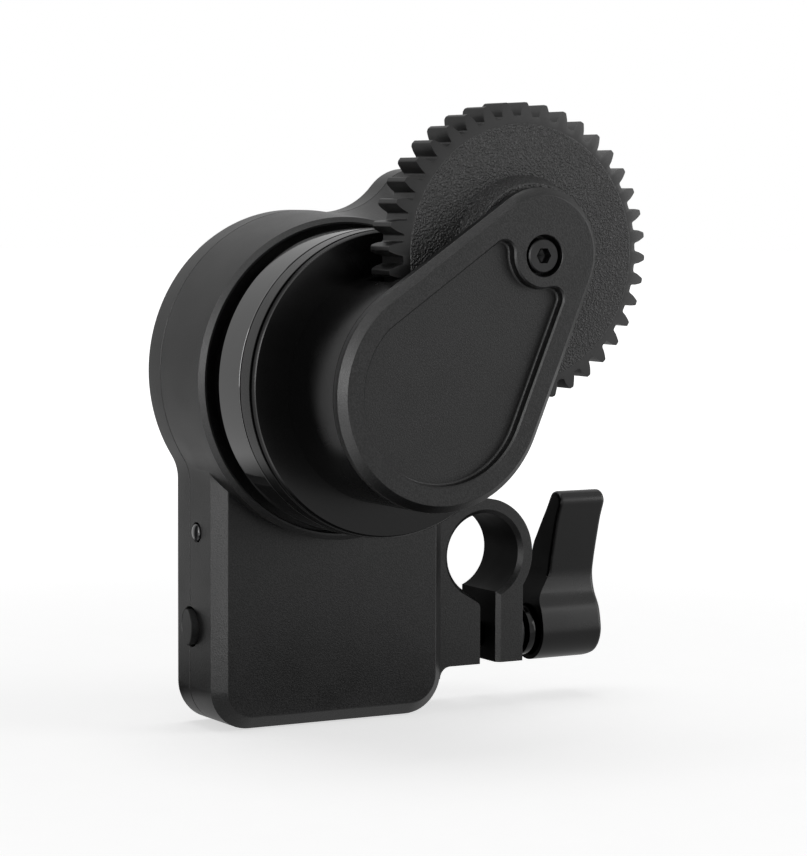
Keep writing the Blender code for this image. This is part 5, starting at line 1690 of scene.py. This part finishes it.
    def hub(self) -> None:
        """Makes the drum's front disc and the hub, cut away where the lens gear runs."""
        back = self.drum_front - self.seam
        groove_front, groove_back = self.groove
        disc = [
            (0.0, self.disc_front),
            (self.rim_radius, self.disc_front),
            (self.disc_radius, groove_front),
            (self.rim_radius, groove_front),
            (self.rim_radius, groove_back),
            (self.disc_radius, groove_back),
            (self.disc_radius, back),
            (0.0, back),
        ]
        post = rod(self.hub_radius, self.hub_front, self.disc_front + self.post_foot)
        slot_front, slot_back = self.slot
        tunnel = [
            (0.0, self.hub_front - OVERRUN),
            (self.bearing_room, self.hub_front - OVERRUN),
            (self.bearing_room, slot_front),
            (self.pinion_room, slot_front),
            (self.pinion_room, slot_back),
            (self.tunnel, slot_back),
            (self.tunnel, back + OVERRUN),
            (0.0, back + OVERRUN),
        ]
        shape = turned(eased(disc, self.edge_round / 2, 2), FINE_CIRCLE_STEPS)
        hub = moved(turned(post, FINE_CIRCLE_STEPS), self.hub_point.x, 0.0, self.hub_point.y)
        shape = joined(shape, hub)
        count_radius, start, count = self.base_screws
        hole_radius, hole_tip = self.base_screw_hole
        holes = []
        for index in range(count):
            place = polar(AXIS, count_radius, start + TURN * index / count)
            hole = turned(rod(hole_radius, hole_tip, back + OVERRUN), SMALL_CIRCLE_STEPS)
            holes.append(moved(hole, place.x, 0.0, place.y))
        boss_room = rod(self.boss_room, self.hub_front - OVERRUN, slot_back)
        shape = cut(
            shape,
            turned(tunnel, SMALL_CIRCLE_STEPS),
            self.at_gear(turned(rod(self.slot_radius, slot_front, slot_back))),
            self.at_gear(turned(boss_room, SMALL_CIRCLE_STEPS)),
            *holes,
        )
        self.add("hub_and_disc", shape, "black_anodised", ["arm_hub"], "hub_anodised")

    def plate(self) -> None:
        """Makes the teardrop cover with its chamfer, pocket and counterbore."""
        front = self.plate_front
        shape = prism(self.teardrop(self.hub_radius, self.tip_radius), front, self.plate_back)
        bevelled(shape, self.plate_chamfer, at_y(front))
        bevelled(shape, self.edge_round / 2, at_y(front, front + self.plate_chamfer), 2)
        boss_radius, boss_length = self.boss
        boss_back = self.plate_back + boss_length
        boss = turned(rod(boss_radius, self.plate_back - LAP, boss_back), SMALL_CIRCLE_STEPS)
        shape = joined(shape, self.at_gear(boss))
        outline = without_doubles(self.pocket_outline())
        floor = front + self.pocket_depth
        pocket = prism(outline, front - OVERRUN, floor)
        bevelled(pocket, self.pocket_fillet, at_y(floor), 3)
        lip = self.pocket_lip
        deeper = self.pocket_lip_overlap
        inner = widened(outline, -deeper)
        flare = funnel(inner, lip + OVERRUN + deeper * 2, front - OVERRUN, front + lip + deeper)
        mouth = self.screw_bore + self.edge_round / 2
        seat = front + self.screw_head_height + FIT
        hole = self.screw_shank + FIT
        bore = [
            (0.0, front - OVERRUN),
            (mouth, front - OVERRUN),
            (mouth, front),
            (self.screw_bore, front + self.edge_round / 2),
            (self.screw_bore, seat),
            (hole, seat),
            (hole, boss_back + OVERRUN),
            (0.0, boss_back + OVERRUN),
        ]
        shape = cut(shape, pocket, flare, self.at_screw(turned(bore, SMALL_CIRCLE_STEPS * 2)))
        self.add("teardrop_cover", shape, "black_anodised", ["arm_cover"], "plate_anodised")

    def screw(self) -> None:
        """Makes the socket screw that shows in the cover."""
        face = self.plate_front + self.screw_sink
        step = self.plate_front + self.screw_head_height
        end = step + self.screw_length
        head = self.screw_head
        shank = self.screw_shank
        key, key_depth = self.screw_socket
        profile = [
            (0.0, face),
            (head - self.screw_chamfer, face),
            (head, face + self.screw_chamfer),
            (head, step),
            (shank, step),
            (shank, end - self.screw_tip),
            (shank - self.screw_tip, end),
            (0.0, end),
        ]
        shape = turned(profile, SMALL_CIRCLE_STEPS * 2)
        shape = cut(shape, hex_socket(key, face + key_depth, face - OVERRUN))
        self.add("socket_screw", self.at_screw(shape), "black_steel", ["axle_screw"])

    def build(self) -> None:
        """Makes every piece of the arm that shows."""
        self.ring()
        self.hub()
        self.plate()
        self.screw()


@dataclass
class LensGear(SubAssembly):
    """The toothed wheel that turns a lens's ring."""

    body: str = "gear"
    centre: tuple[float, float] = GEAR_CENTRE
    module: float = 0.0008
    teeth: int = 40
    phase: float = math.radians(-74.09)
    pressure: float = math.radians(20.0)
    dedendum_share: float = 1.05
    backlash: float = 0.00008
    tip_round: float = 0.00020
    root_round: float = 0.00030
    front: float = -0.0218
    tip_front: float = -0.0212
    back: float = -0.0169
    back_chamfer: float = 0.0003
    face_radius: float = 0.01445
    boss_radii: tuple[float, float] = (0.0078, 0.0087)
    boss_front: float = -0.0243
    bore: float = 0.0040
    recess: tuple[float, float] = (0.0044, 0.0016)
    boss_foot: float = 0.0002
    boss_round: float = 0.00025
    flank_steps: int = 5
    round_steps: int = 4
    envelope_steps: int = 160
    boss_steps: int = 120

    def tooth_half(self) -> Outline:
        """Returns one side of a tooth along X, from the middle of the root to the middle of the tip."""
        pitch = self.module * self.teeth / 2
        tip = pitch + self.module
        root = pitch - self.dedendum_share * self.module
        base = pitch * math.cos(self.pressure)
        half = (math.pi * self.module / 2 - self.backlash) / (2 * pitch)
        half += math.tan(self.pressure) - self.pressure
        lowest = max(base, root)
        flank = []
        for step in range(self.flank_steps + 1):
            radius = lowest + (tip - lowest) * step / self.flank_steps
            roll = math.acos(min(1.0, base / radius))
            flank.append(polar(AXIS, radius, -(half - (math.tan(roll) - roll))))
        root_middle = polar(AXIS, root, -TURN / self.teeth / 2)
        root_corner = polar(AXIS, root, -half)
        tip_middle = Vector((tip, 0.0))
        points = [root_middle]
        points += corner_arc(root_middle, root_corner, flank[-1], self.root_round, self.round_steps)
        points += flank[2:-1]
        points += corner_arc(flank[-2], flank[-1], tip_middle, self.tip_round, self.round_steps)
        return points

    def outline(self) -> Outline:
        """Returns the outline of all the teeth about the gear's axis."""
        half = self.tooth_half()
        tooth = half + [Vector((point.x, -point.y)) for point in reversed(half)]
        points = []
        for index in range(self.teeth):
            turn = Matrix.Rotation(self.phase + TURN * index / self.teeth, 2)
            points += [turn @ point for point in tooth]
        return without_doubles(points)

    def build(self) -> None:
        """Makes the wheel with its tooth ends bevelled, its boss and its bore."""
        tip = self.module * (self.teeth / 2 + 1)
        outside = tip + OVERRUN
        slope = (self.tip_front - self.front) / (tip - self.face_radius)
        envelope = [
            (0.0, self.front - OVERRUN),
            (self.face_radius, self.front - OVERRUN),
            (self.face_radius, self.front),
            (outside, self.front + slope * (outside - self.face_radius)),
            (outside, self.back - self.back_chamfer - OVERRUN),
            (tip - self.back_chamfer - OVERRUN, self.back + OVERRUN),
            (0.0, self.back + OVERRUN),
        ]
        teeth = prism(self.outline(), self.front, self.back)
        shape = combined(teeth, turned(envelope, self.envelope_steps), Operation.KEEP)
        boss_radius, foot_radius = self.boss_radii
        boss = [(0.0, self.boss_front), (boss_radius, self.boss_front), (foot_radius, self.front)]
        foot = self.front + self.boss_foot
        boss += [(foot_radius, foot), (0.0, foot)]
        recess_radius, recess_depth = self.recess
        recess = self.boss_front + recess_depth
        bore = [
            (0.0, self.boss_front - OVERRUN),
            (recess_radius, self.boss_front - OVERRUN),
            (recess_radius, recess),
            (self.bore, recess),
            (self.bore, self.back + OVERRUN),
            (0.0, self.back + OVERRUN),
        ]
        boss = eased(boss, self.boss_round, self.round_steps)
        shape = joined(shape, turned(boss, self.boss_steps))
        shape = cut(shape, turned(bore, SMALL_CIRCLE_STEPS))
        moved(shape, self.centre[0], 0.0, self.centre[1])
        self.add("toothed_wheel", shape, "black_nylon", ["lens_gear"])


@dataclass
class ClampLever(SubAssembly):
    """The wing lever with its screw and the screw's flange."""

    body: str = "lever"
    axis_place: tuple[float, float] = CLAMP_SCREW
    left: float = 0.0309
    right: float = 0.0396
    arm_left: float = 0.03295
    boss_radius: float = 0.00375
    flare: tuple[float, float] = (-0.0291, -0.0250)
    tip: tuple[float, float, float] = (0.00335, -0.01640, 0.00135)
    front_line: tuple[tuple[float, float], ...] = (
        (0.00272, -0.0184),
        (0.00324, -0.0202),
        (0.00375, -0.0221),
        (0.00420, -0.0240),
        (0.00445, -0.0258),
        (0.00400, -0.0277),
        (0.00295, -0.0295),
    )
    back_line: tuple[tuple[float, float], ...] = (
        (0.00976, -0.0300),
        (0.00968, -0.0280),
        (0.00945, -0.0260),
        (0.00905, -0.0240),
        (0.00846, -0.0220),
        (0.00755, -0.0205),
        (0.00653, -0.0189),
        (0.00540, -0.0172),
    )
    tip_arc: tuple[float, float, int] = (math.radians(38.0), math.radians(190.0), 5)
    boss_arc: tuple[float, float, int] = (math.radians(166.0), math.radians(-4.0), 9)
    end_round: float = 0.0006
    edge_round: float = 0.0005
    lower_corner: float = 0.0020
    boss_chamfer: float = 0.0007
    screw_radius: float = 0.0015
    screw_end: float = 0.0170
    flange: tuple[float, float, float] = (0.0293, 0.0009, 0.0031)
    flange_sink: float = 0.0005
    drive: tuple[float, float] = (0.0020, 0.0036)
    screw_edge: float = 0.00012
    rim_angle: float = math.radians(40.0)
    left_facing: float = -0.6
    cutter_reach: float = 0.02
    curve_steps: int = 12
    smooth_steps: int = 4

    def outline(self) -> Outline:
        """Returns the side view, as (y, z), from the tip down the front, round the boss and up the back."""
        centre = Vector(self.axis_place)
        *tip_centre, tip_radius = self.tip
        points = arc(Vector(tip_centre), tip_radius, *self.tip_arc)
        points += [Vector(point) for point in self.front_line]
        points += arc(centre, self.boss_radius, *self.boss_arc)
        points += [Vector(point) for point in self.back_line]
        return smoothed(points, self.smooth_steps)

    def lever(self) -> None:
        """Makes the lever."""
        shape = prism(self.outline(), self.left, self.right)
        swap = Matrix(((0.0, 1.0, 0.0), (1.0, 0.0, 0.0), (0.0, 0.0, 1.0)))
        bmesh.ops.transform(shape, matrix=swap.to_4x4(), verts=shape.verts)
        settled(shape)

        def on_right(edge: BMEdge) -> bool:
            """Returns whether an edge is on the lever's right end."""
            return all(abs(vert.co.x - self.right) < WELD for vert in edge.verts)

        bevelled(shape, self.end_round, on_right, 4)
        reach = self.cutter_reach
        low, high = self.flare
        steps = self.curve_steps
        beside = [Vector((self.left - OVERRUN, low)), Vector((self.left, low))]
        for step in range(1, steps + 1):
            share = step / steps
            ease = share * share * (3 - 2 * share)
            across = self.left + (self.arm_left - self.left) * ease
            beside.append(Vector((across, low + (high - low) * share)))
        beside += [Vector((self.arm_left, 0.0)), Vector((self.left - OVERRUN, 0.0))]
        bottom = self.axis_place[1] - self.boss_radius
        corner = Vector((self.right - self.lower_corner, bottom + self.lower_corner))
        below = [Vector((self.right + OVERRUN, corner.y))]
        below += arc(corner, self.lower_corner, 0.0, 3 * QUARTER, steps, -1)
        below += [Vector((corner.x, bottom - OVERRUN)), Vector((self.right + OVERRUN, bottom - OVERRUN))]
        shape = cut(shape, prism(beside, -reach, reach), prism(below, -reach, reach))

        def on_boss(edge: BMEdge) -> bool:
            """Returns whether an edge is on the boss's left rim."""
            inner = Vector(self.axis_place)
            reaches = [(Vector((vert.co.y, vert.co.z)) - inner).length for vert in edge.verts]
            level = all(abs(vert.co.x - self.left) < WELD for vert in edge.verts)
            return level and min(reaches) > self.flange[2] + FIT * 2

        def on_arm(edge: BMEdge) -> bool:
            """Returns whether an edge is on the arm's left rim."""
            low = self.flare[1] - self.edge_round * 2
            right = self.right - self.end_round * 2
            inner = all(vert.co.x < right and vert.co.z > low for vert in edge.verts)
            return inner and sharp(self.rim_angle)(edge)

        drive_radius, drive_length = self.drive
        flange_room = self.flange[2] + FIT
        drive_room = drive_radius + FIT
        seat = self.left + self.flange_sink
        end = self.left + drive_length + PLAY
        socket = [
            (0.0, self.left - OVERRUN),
            (flange_room, self.left - OVERRUN),
            (flange_room, seat),
            (drive_room, seat),
            (drive_room, end),
            (0.0, end),
        ]
        y, z = self.axis_place
        shape = cut(shape, moved(turned(socket, SMALL_CIRCLE_STEPS, Axis.X), 0.0, y, z))
        bevelled(shape, self.boss_chamfer, on_boss, 3, held=True)
        bevelled(shape, self.edge_round, on_arm, 4)
        made = self.add("wing_lever", shape, "black_anodised", ["clamp_lever"], "lever_anodised")
        # Faces turned to the left get the darker, nearly unreflective copy of the anodising: painted shade
        # on that side
        made.data.materials.append(self.finishes["painted_shade_anodised"])
        for face in made.data.polygons:
            if face.normal.x < self.left_facing:
                face.material_index = 1

    def screw(self) -> None:
        """Makes the clamp screw with its flange and the end that the lever drives."""
        start, thickness, radius = self.flange
        drive_radius, drive_length = self.drive
        profile = [
            (0.0, self.screw_end),
            (self.screw_radius, self.screw_end),
            (self.screw_radius, start),
            (radius, start),
            (radius, start + thickness),
            (drive_radius, start + thickness),
            (drive_radius, self.left + drive_length),
            (0.0, self.left + drive_length),
        ]
        y, z = self.axis_place
        shape = moved(turned(eased(profile, self.screw_edge), SMALL_CIRCLE_STEPS, Axis.X), 0.0, y, z)
        # The screw's steel is darkened as painted shade, where it sits enclosed
        self.add("flanged_screw", shape, "bright_steel", ["clamp_screw"], "painted_shade_screw_steel")

    def build(self) -> None:
        """Makes the lever and its screw."""
        self.lever()
        self.screw()


@dataclass
class HiddenPieces:
    """The CAD nodes that keep their shape and get a finer finish."""

    finishes: dict[str, Material]

    def build(self) -> None:
        """Gives each CAD node the finish that the record names for it."""
        slots = {entry["node"]: entry["material_slot"] for entry in FRAME["record"]["subparts"]}
        for name, node in FRAME["nodes"].items():
            for place in node.material_slots:
                place.material = self.finishes[slots[name]]
        LOG.info("%d CAD nodes have their finish", len(FRAME["nodes"]))


# Studio

@dataclass(frozen=True)
class Softbox:
    """A rectangular lamp that faces the unit."""

    name: str
    place: tuple[float, float, float]
    size: tuple[float, float]
    brightness: float
    target: tuple[float, float, float] = (-0.015, -0.01, 0.015)
    glossy_only: bool = False

    def build(self) -> None:
        """Makes the lamp."""
        lamp = bpy.data.lights.new(self.name, "AREA")
        lamp.shape = "RECTANGLE"
        lamp.size, lamp.size_y = self.size
        lamp.energy = self.brightness * math.pi * self.size[0] * self.size[1]
        made = bpy.data.objects.new(self.name, lamp)
        bpy.context.scene.collection.objects.link(made)
        made.location = self.place
        facing = Vector(self.target) - Vector(self.place)
        made.rotation_euler = facing.to_track_quat("-Z", "Y").to_euler()
        made.visible_diffuse = not self.glossy_only


@dataclass
class Studio:
    """The camera, the pale floor, the lamps and the white surroundings."""

    yaw: float = 0.5198
    pitch: float = 0.0778
    roll: float = 0.0039
    distance: float = 0.3484486
    aside: float = 0.0083705
    upward: float = -0.0058415
    lens: float = 126.168
    sensor: float = 36.0
    clip: tuple[float, float] = (0.01, 10.0)
    floor_radius: float = 3.0
    floor_height: float = -0.01861
    floor_steps: int = 96
    floor_grain: float = 0.004
    floor_tones: tuple[float, float] = (0.80, 0.84)
    floor_roughness: float = 0.9
    white_range: tuple[float, float] = (0.06, 0.40)
    white_least: float = 0.62
    panel: tuple[float, float] = (math.radians(19.0), math.radians(61.0))
    panel_strength: float = 0.75
    strip: tuple[float, float] = (math.radians(-120.0), math.radians(34.0))
    strip_strength: float = 1.0
    streak: tuple[float, float] = (math.radians(-124.0), math.radians(9.0))
    streak_strength: float = 3.6
    front: tuple[float, float] = (math.radians(150.0), math.radians(64.0))
    front_strength: float = 0.85
    dim_strength: float = 0.03
    light_fade: float = math.radians(2.5)
    diffuse_strength: float = 0.22
    box_middle: tuple[float, float, float] = (-0.022, -0.006, 0.0)
    near_dark: float = 0.03
    near_light: float = 0.55
    near_range: tuple[float, float] = (0.055, 0.085)
    right_range: tuple[float, float] = (-0.01, 0.02)
    under_range: tuple[float, float] = (0.008, 0.014)
    lamps: tuple[Softbox, ...] = (
        Softbox("left_strip", (-0.42, -0.24, 0.115), (0.12, 0.25), 6.0, glossy_only=True),
        Softbox("top_softbox", (-0.05, 0.10, 0.80), (0.6, 0.4), 1.5),
        Softbox("right_softbox", (0.50, -0.36, 0.14), (0.32, 0.45), 2.6),
    )

    def camera(self) -> None:
        """Places the camera where the photograph was taken from."""
        right = Vector((math.cos(self.yaw), -math.sin(self.yaw), 0.0))
        ahead = Vector((math.sin(self.yaw), math.cos(self.yaw), 0.0))
        up = Vector((0.0, 0.0, 1.0))
        view = ahead * math.cos(self.pitch) - up * math.sin(self.pitch)
        top = ahead * math.sin(self.pitch) + up * math.cos(self.pitch)
        place = right * self.aside + up * self.upward - view * self.distance - ORIGIN
        level = right * math.cos(self.roll) + top * math.sin(self.roll)
        steep = top * math.cos(self.roll) - right * math.sin(self.roll)
        data = bpy.data.cameras.new("camera")
        data.lens = self.lens
        data.sensor_width = self.sensor
        data.clip_start, data.clip_end = self.clip
        made = bpy.data.objects.new("camera", data)
        bpy.context.scene.collection.objects.link(made)
        axes = Matrix((level, steep, -view)).transposed()
        made.matrix_world = Matrix.LocRotScale(place, axes.to_quaternion(), None)
        bpy.context.scene.camera = made

    def beside(
        self, nodes: bpy.types.Nodes, links: bpy.types.NodeLinks, direction: NodeSocket
    ) -> NodeSocket:
        """Gives the brightness of the surroundings by compass direction.

        Args:
            nodes: The node tree's nodes.
            links: Its links.
            direction: The direction, or a place seen from above.

        Returns:
            The brightness: a wide panel behind the unit, a wide light at its right front, a strip with
            a bright streak at its left front, and a dim rest.
        """
        flat = nodes.new("ShaderNodeVectorMath")
        flat.operation = "MULTIPLY"
        flat.inputs[1].default_value = (1.0, 1.0, 0.0)
        links.new(direction, flat.inputs[0])
        level = nodes.new("ShaderNodeVectorMath")
        level.operation = "NORMALIZE"
        links.new(flat.outputs["Vector"], level.inputs[0])
        total = None
        lights = (
            (self.panel, self.panel_strength),
            (self.front, self.front_strength),
            (self.strip, self.strip_strength),
            (self.streak, self.streak_strength),
        )
        for (middle, half), strength in lights:
            facing = nodes.new("ShaderNodeVectorMath")
            facing.operation = "DOT_PRODUCT"
            facing.inputs[1].default_value = (math.sin(middle), math.cos(middle), 0.0)
            links.new(level.outputs["Vector"], facing.inputs[0])
            shade = nodes.new("ShaderNodeMapRange")
            shade.interpolation_type = "SMOOTHSTEP"
            edge = self.light_fade
            shade.inputs["From Min"].default_value = math.cos(half + edge)
            shade.inputs["From Max"].default_value = math.cos(half - edge)
            shade.inputs["To Min"].default_value = self.dim_strength if total is None else 0.0
            shade.inputs["To Max"].default_value = strength
            links.new(facing.outputs["Value"], shade.inputs["Value"])
            if total is None:
                total = shade.outputs["Result"]
                continue
            together = nodes.new("ShaderNodeMath")
            together.operation = "MAXIMUM"
            links.new(total, together.inputs[0])
            links.new(shade.outputs["Result"], together.inputs[1])
            total = together.outputs["Value"]
        return total

    def floor(self) -> None:
        """Makes the pale floor.

        The camera sees it as nearly white, with the unit's shadow. In reflections the surroundings go on
        in it, and near the unit it is dark or light by where it lies.
        """
        shape = bmesh.new()
        bmesh.ops.create_circle(shape, cap_ends=True, segments=self.floor_steps, radius=self.floor_radius)
        moved(shape, 0.0, 0.0, self.floor_height)
        made = as_object("floor", shape)
        graph = Graph("pale_floor")
        grain = graph.noise(self.floor_grain, 3.0)
        path = graph.nodes.new("ShaderNodeLightPath")
        darker, lighter = self.floor_tones
        pale = graph.coloured(grain, (darker,) * 3, (lighter,) * 3)
        graph.drive(
            Base_Color=graph.blended(path.outputs["Is Glossy Ray"], pale, (0.0, 0.0, 0.0)),
            Roughness=self.floor_roughness,
        )
        distance = graph.nodes.new("ShaderNodeVectorMath")
        distance.operation = "LENGTH"
        graph.links.new(graph.coordinates, distance.inputs[0])
        far = graph.ranged(distance.outputs["Value"], *self.near_range, 0.0, 1.0)
        aside = graph.part(graph.coordinates, "X")
        right = graph.ranged(aside, *self.right_range, self.near_dark, self.near_light)
        across = graph.calculated("ABSOLUTE", graph.part(graph.coordinates, "Y"))
        under = graph.ranged(across, *self.under_range, self.near_light, self.near_dark)
        near = graph.calculated("MAXIMUM", right, under)
        around = self.beside(graph.nodes, graph.links, graph.placed(self.box_middle))
        change = graph.calculated("SUBTRACT", around, near)
        mirrored = graph.calculated("ADD", near, graph.calculated("MULTIPLY", far, change))
        white = graph.ranged(distance.outputs["Value"], *self.white_range, self.white_least, 1.0)
        direct = path.outputs["Is Camera Ray"]
        seen = graph.calculated("MAXIMUM", direct, path.outputs["Is Transmission Ray"])
        shown = graph.calculated("MULTIPLY", seen, white)
        glossy = graph.calculated("MULTIPLY", path.outputs["Is Glossy Ray"], mirrored)
        graph.drive(
            Emission_Strength=graph.calculated("MAXIMUM", shown, glossy),
            Emission_Color=(1.0, 1.0, 1.0, 1.0),
            Specular_IOR_Level=0.0,
        )
        made.data.materials.append(graph.material)

    def surroundings(self) -> None:
        """Makes the world: white to the camera, even to matt faces, and the four lights to reflections."""
        world = bpy.data.worlds.new("studio")
        world.use_nodes = True
        bpy.context.scene.world = world
        nodes = world.node_tree.nodes
        links = world.node_tree.links
        background = nodes["Background"]
        background.inputs["Color"].default_value = (1.0, 1.0, 1.0, 1.0)
        path = nodes.new("ShaderNodeLightPath")
        place = nodes.new("ShaderNodeTexCoord")
        around = self.beside(nodes, links, place.outputs["Generated"])
        reflected = nodes.new("ShaderNodeMix")
        links.new(path.outputs["Is Glossy Ray"], reflected.inputs[0])
        # Inputs 2 and 3 and output 0 are the node's number sockets
        reflected.inputs[2].default_value = self.diffuse_strength
        links.new(around, reflected.inputs[3])
        seen = nodes.new("ShaderNodeMath")
        seen.operation = "MAXIMUM"
        links.new(path.outputs["Is Camera Ray"], seen.inputs[0])
        links.new(path.outputs["Is Transmission Ray"], seen.inputs[1])
        strength = nodes.new("ShaderNodeMix")
        links.new(seen.outputs["Value"], strength.inputs[0])
        links.new(reflected.outputs[0], strength.inputs[2])
        strength.inputs[3].default_value = 1.0
        links.new(strength.outputs[0], background.inputs["Strength"])

    def build(self) -> None:
        """Makes the whole studio."""
        self.camera()
        self.floor()
        self.surroundings()
        for lamp in self.lamps:
            lamp.build()
        bpy.context.scene.view_settings.view_transform = "Standard"
        LOG.info("studio with %d lamps", len(self.lamps))


def finishes() -> dict[str, Material]:
    """Returns a material for each of the record's slots, and for the pieces that need their own."""
    gear = LensGear({})
    centre = Vector((gear.centre[0], 0.0, gear.centre[1])) - ORIGIN
    black = (0.004, 0.004, 0.0042)
    return {
        "black_anodised": BlastedAnodising().material(),
        "plate_anodised": BlastedAnodising("plate_anodising", grain_height=0.000021).material(),
        "hub_anodised": SatinAnodising("hub_anodising", roughness=(0.22, 0.28), specular=0.3).material(),
        "lever_anodised": SatinAnodising("lever_anodising", roughness=(0.26, 0.32), specular=0.4).material(),
        # A darker copy of the anodising with almost no reflection: painted shade for the clamp's bore and
        # slot and the lever's left side
        "painted_shade_anodised": SatinAnodising("painted_shade_anodising", roughness=(0.45, 0.55), specular=0.04).material(),
        "satin_black": SatinAnodising().material(),
        "black_nylon": MouldedNylon(tuple(centre), gear.face_radius).material(),
        "black_steel": TurnedMetal(
            "black_oxide", black, (0.012, 0.012, 0.013), (0.3, 0.4), metallic=0.0, specular=0.36
        ).material(),
        "bright_steel": TurnedMetal("bright_steel", (0.48, 0.48, 0.49), (0.66, 0.66, 0.66)).material(),
        # Bright steel darkened nearly to black as painted shade, for the clamp screw that sits enclosed
        # between the ear and the lever
        "painted_shade_screw_steel": TurnedMetal(
            "painted_shade_screw_steel", (0.02, 0.02, 0.02), (0.04, 0.04, 0.04), (0.10, 0.16)
        ).material(),
        "bronze": TurnedMetal(
            "sintered_bronze", (0.42, 0.26, 0.11), (0.58, 0.38, 0.18), (0.35, 0.5)
        ).material(),
        "copper_windings": Windings().material(),
        "magnet": TurnedMetal("plated_magnet", (0.12, 0.12, 0.14), (0.2, 0.2, 0.22), (0.3, 0.45)).material(),
        "circuit_board": CircuitBoard().material(),
        "button_cap": BlastedAnodising("button_cap", roughness=(0.5, 0.6), specular=0.30).material(),
        "dark_plastic": Plastic("dark_plastic", (0.002, 0.002, 0.002), black).material(),
        "smoked_lens": Plastic(
            "smoked_lens", (0.02, 0.02, 0.022), (0.03, 0.03, 0.033), (0.1, 0.2), coat=0.5
        ).material(),
    }


def main() -> None:
    """Builds the studio and dresses every piece of the unit."""
    logging.basicConfig(level=logging.INFO, format="%(message)s")
    coats = finishes()
    Studio().build()
    HiddenPieces(coats).build()
    housing = Housing(coats)
    housing.build()
    PushButton(coats, housing=housing).build()
    Arm(coats).build()
    LensGear(coats).build()
    ClampLever(coats).build()


if __name__ == "__main__":
    main()
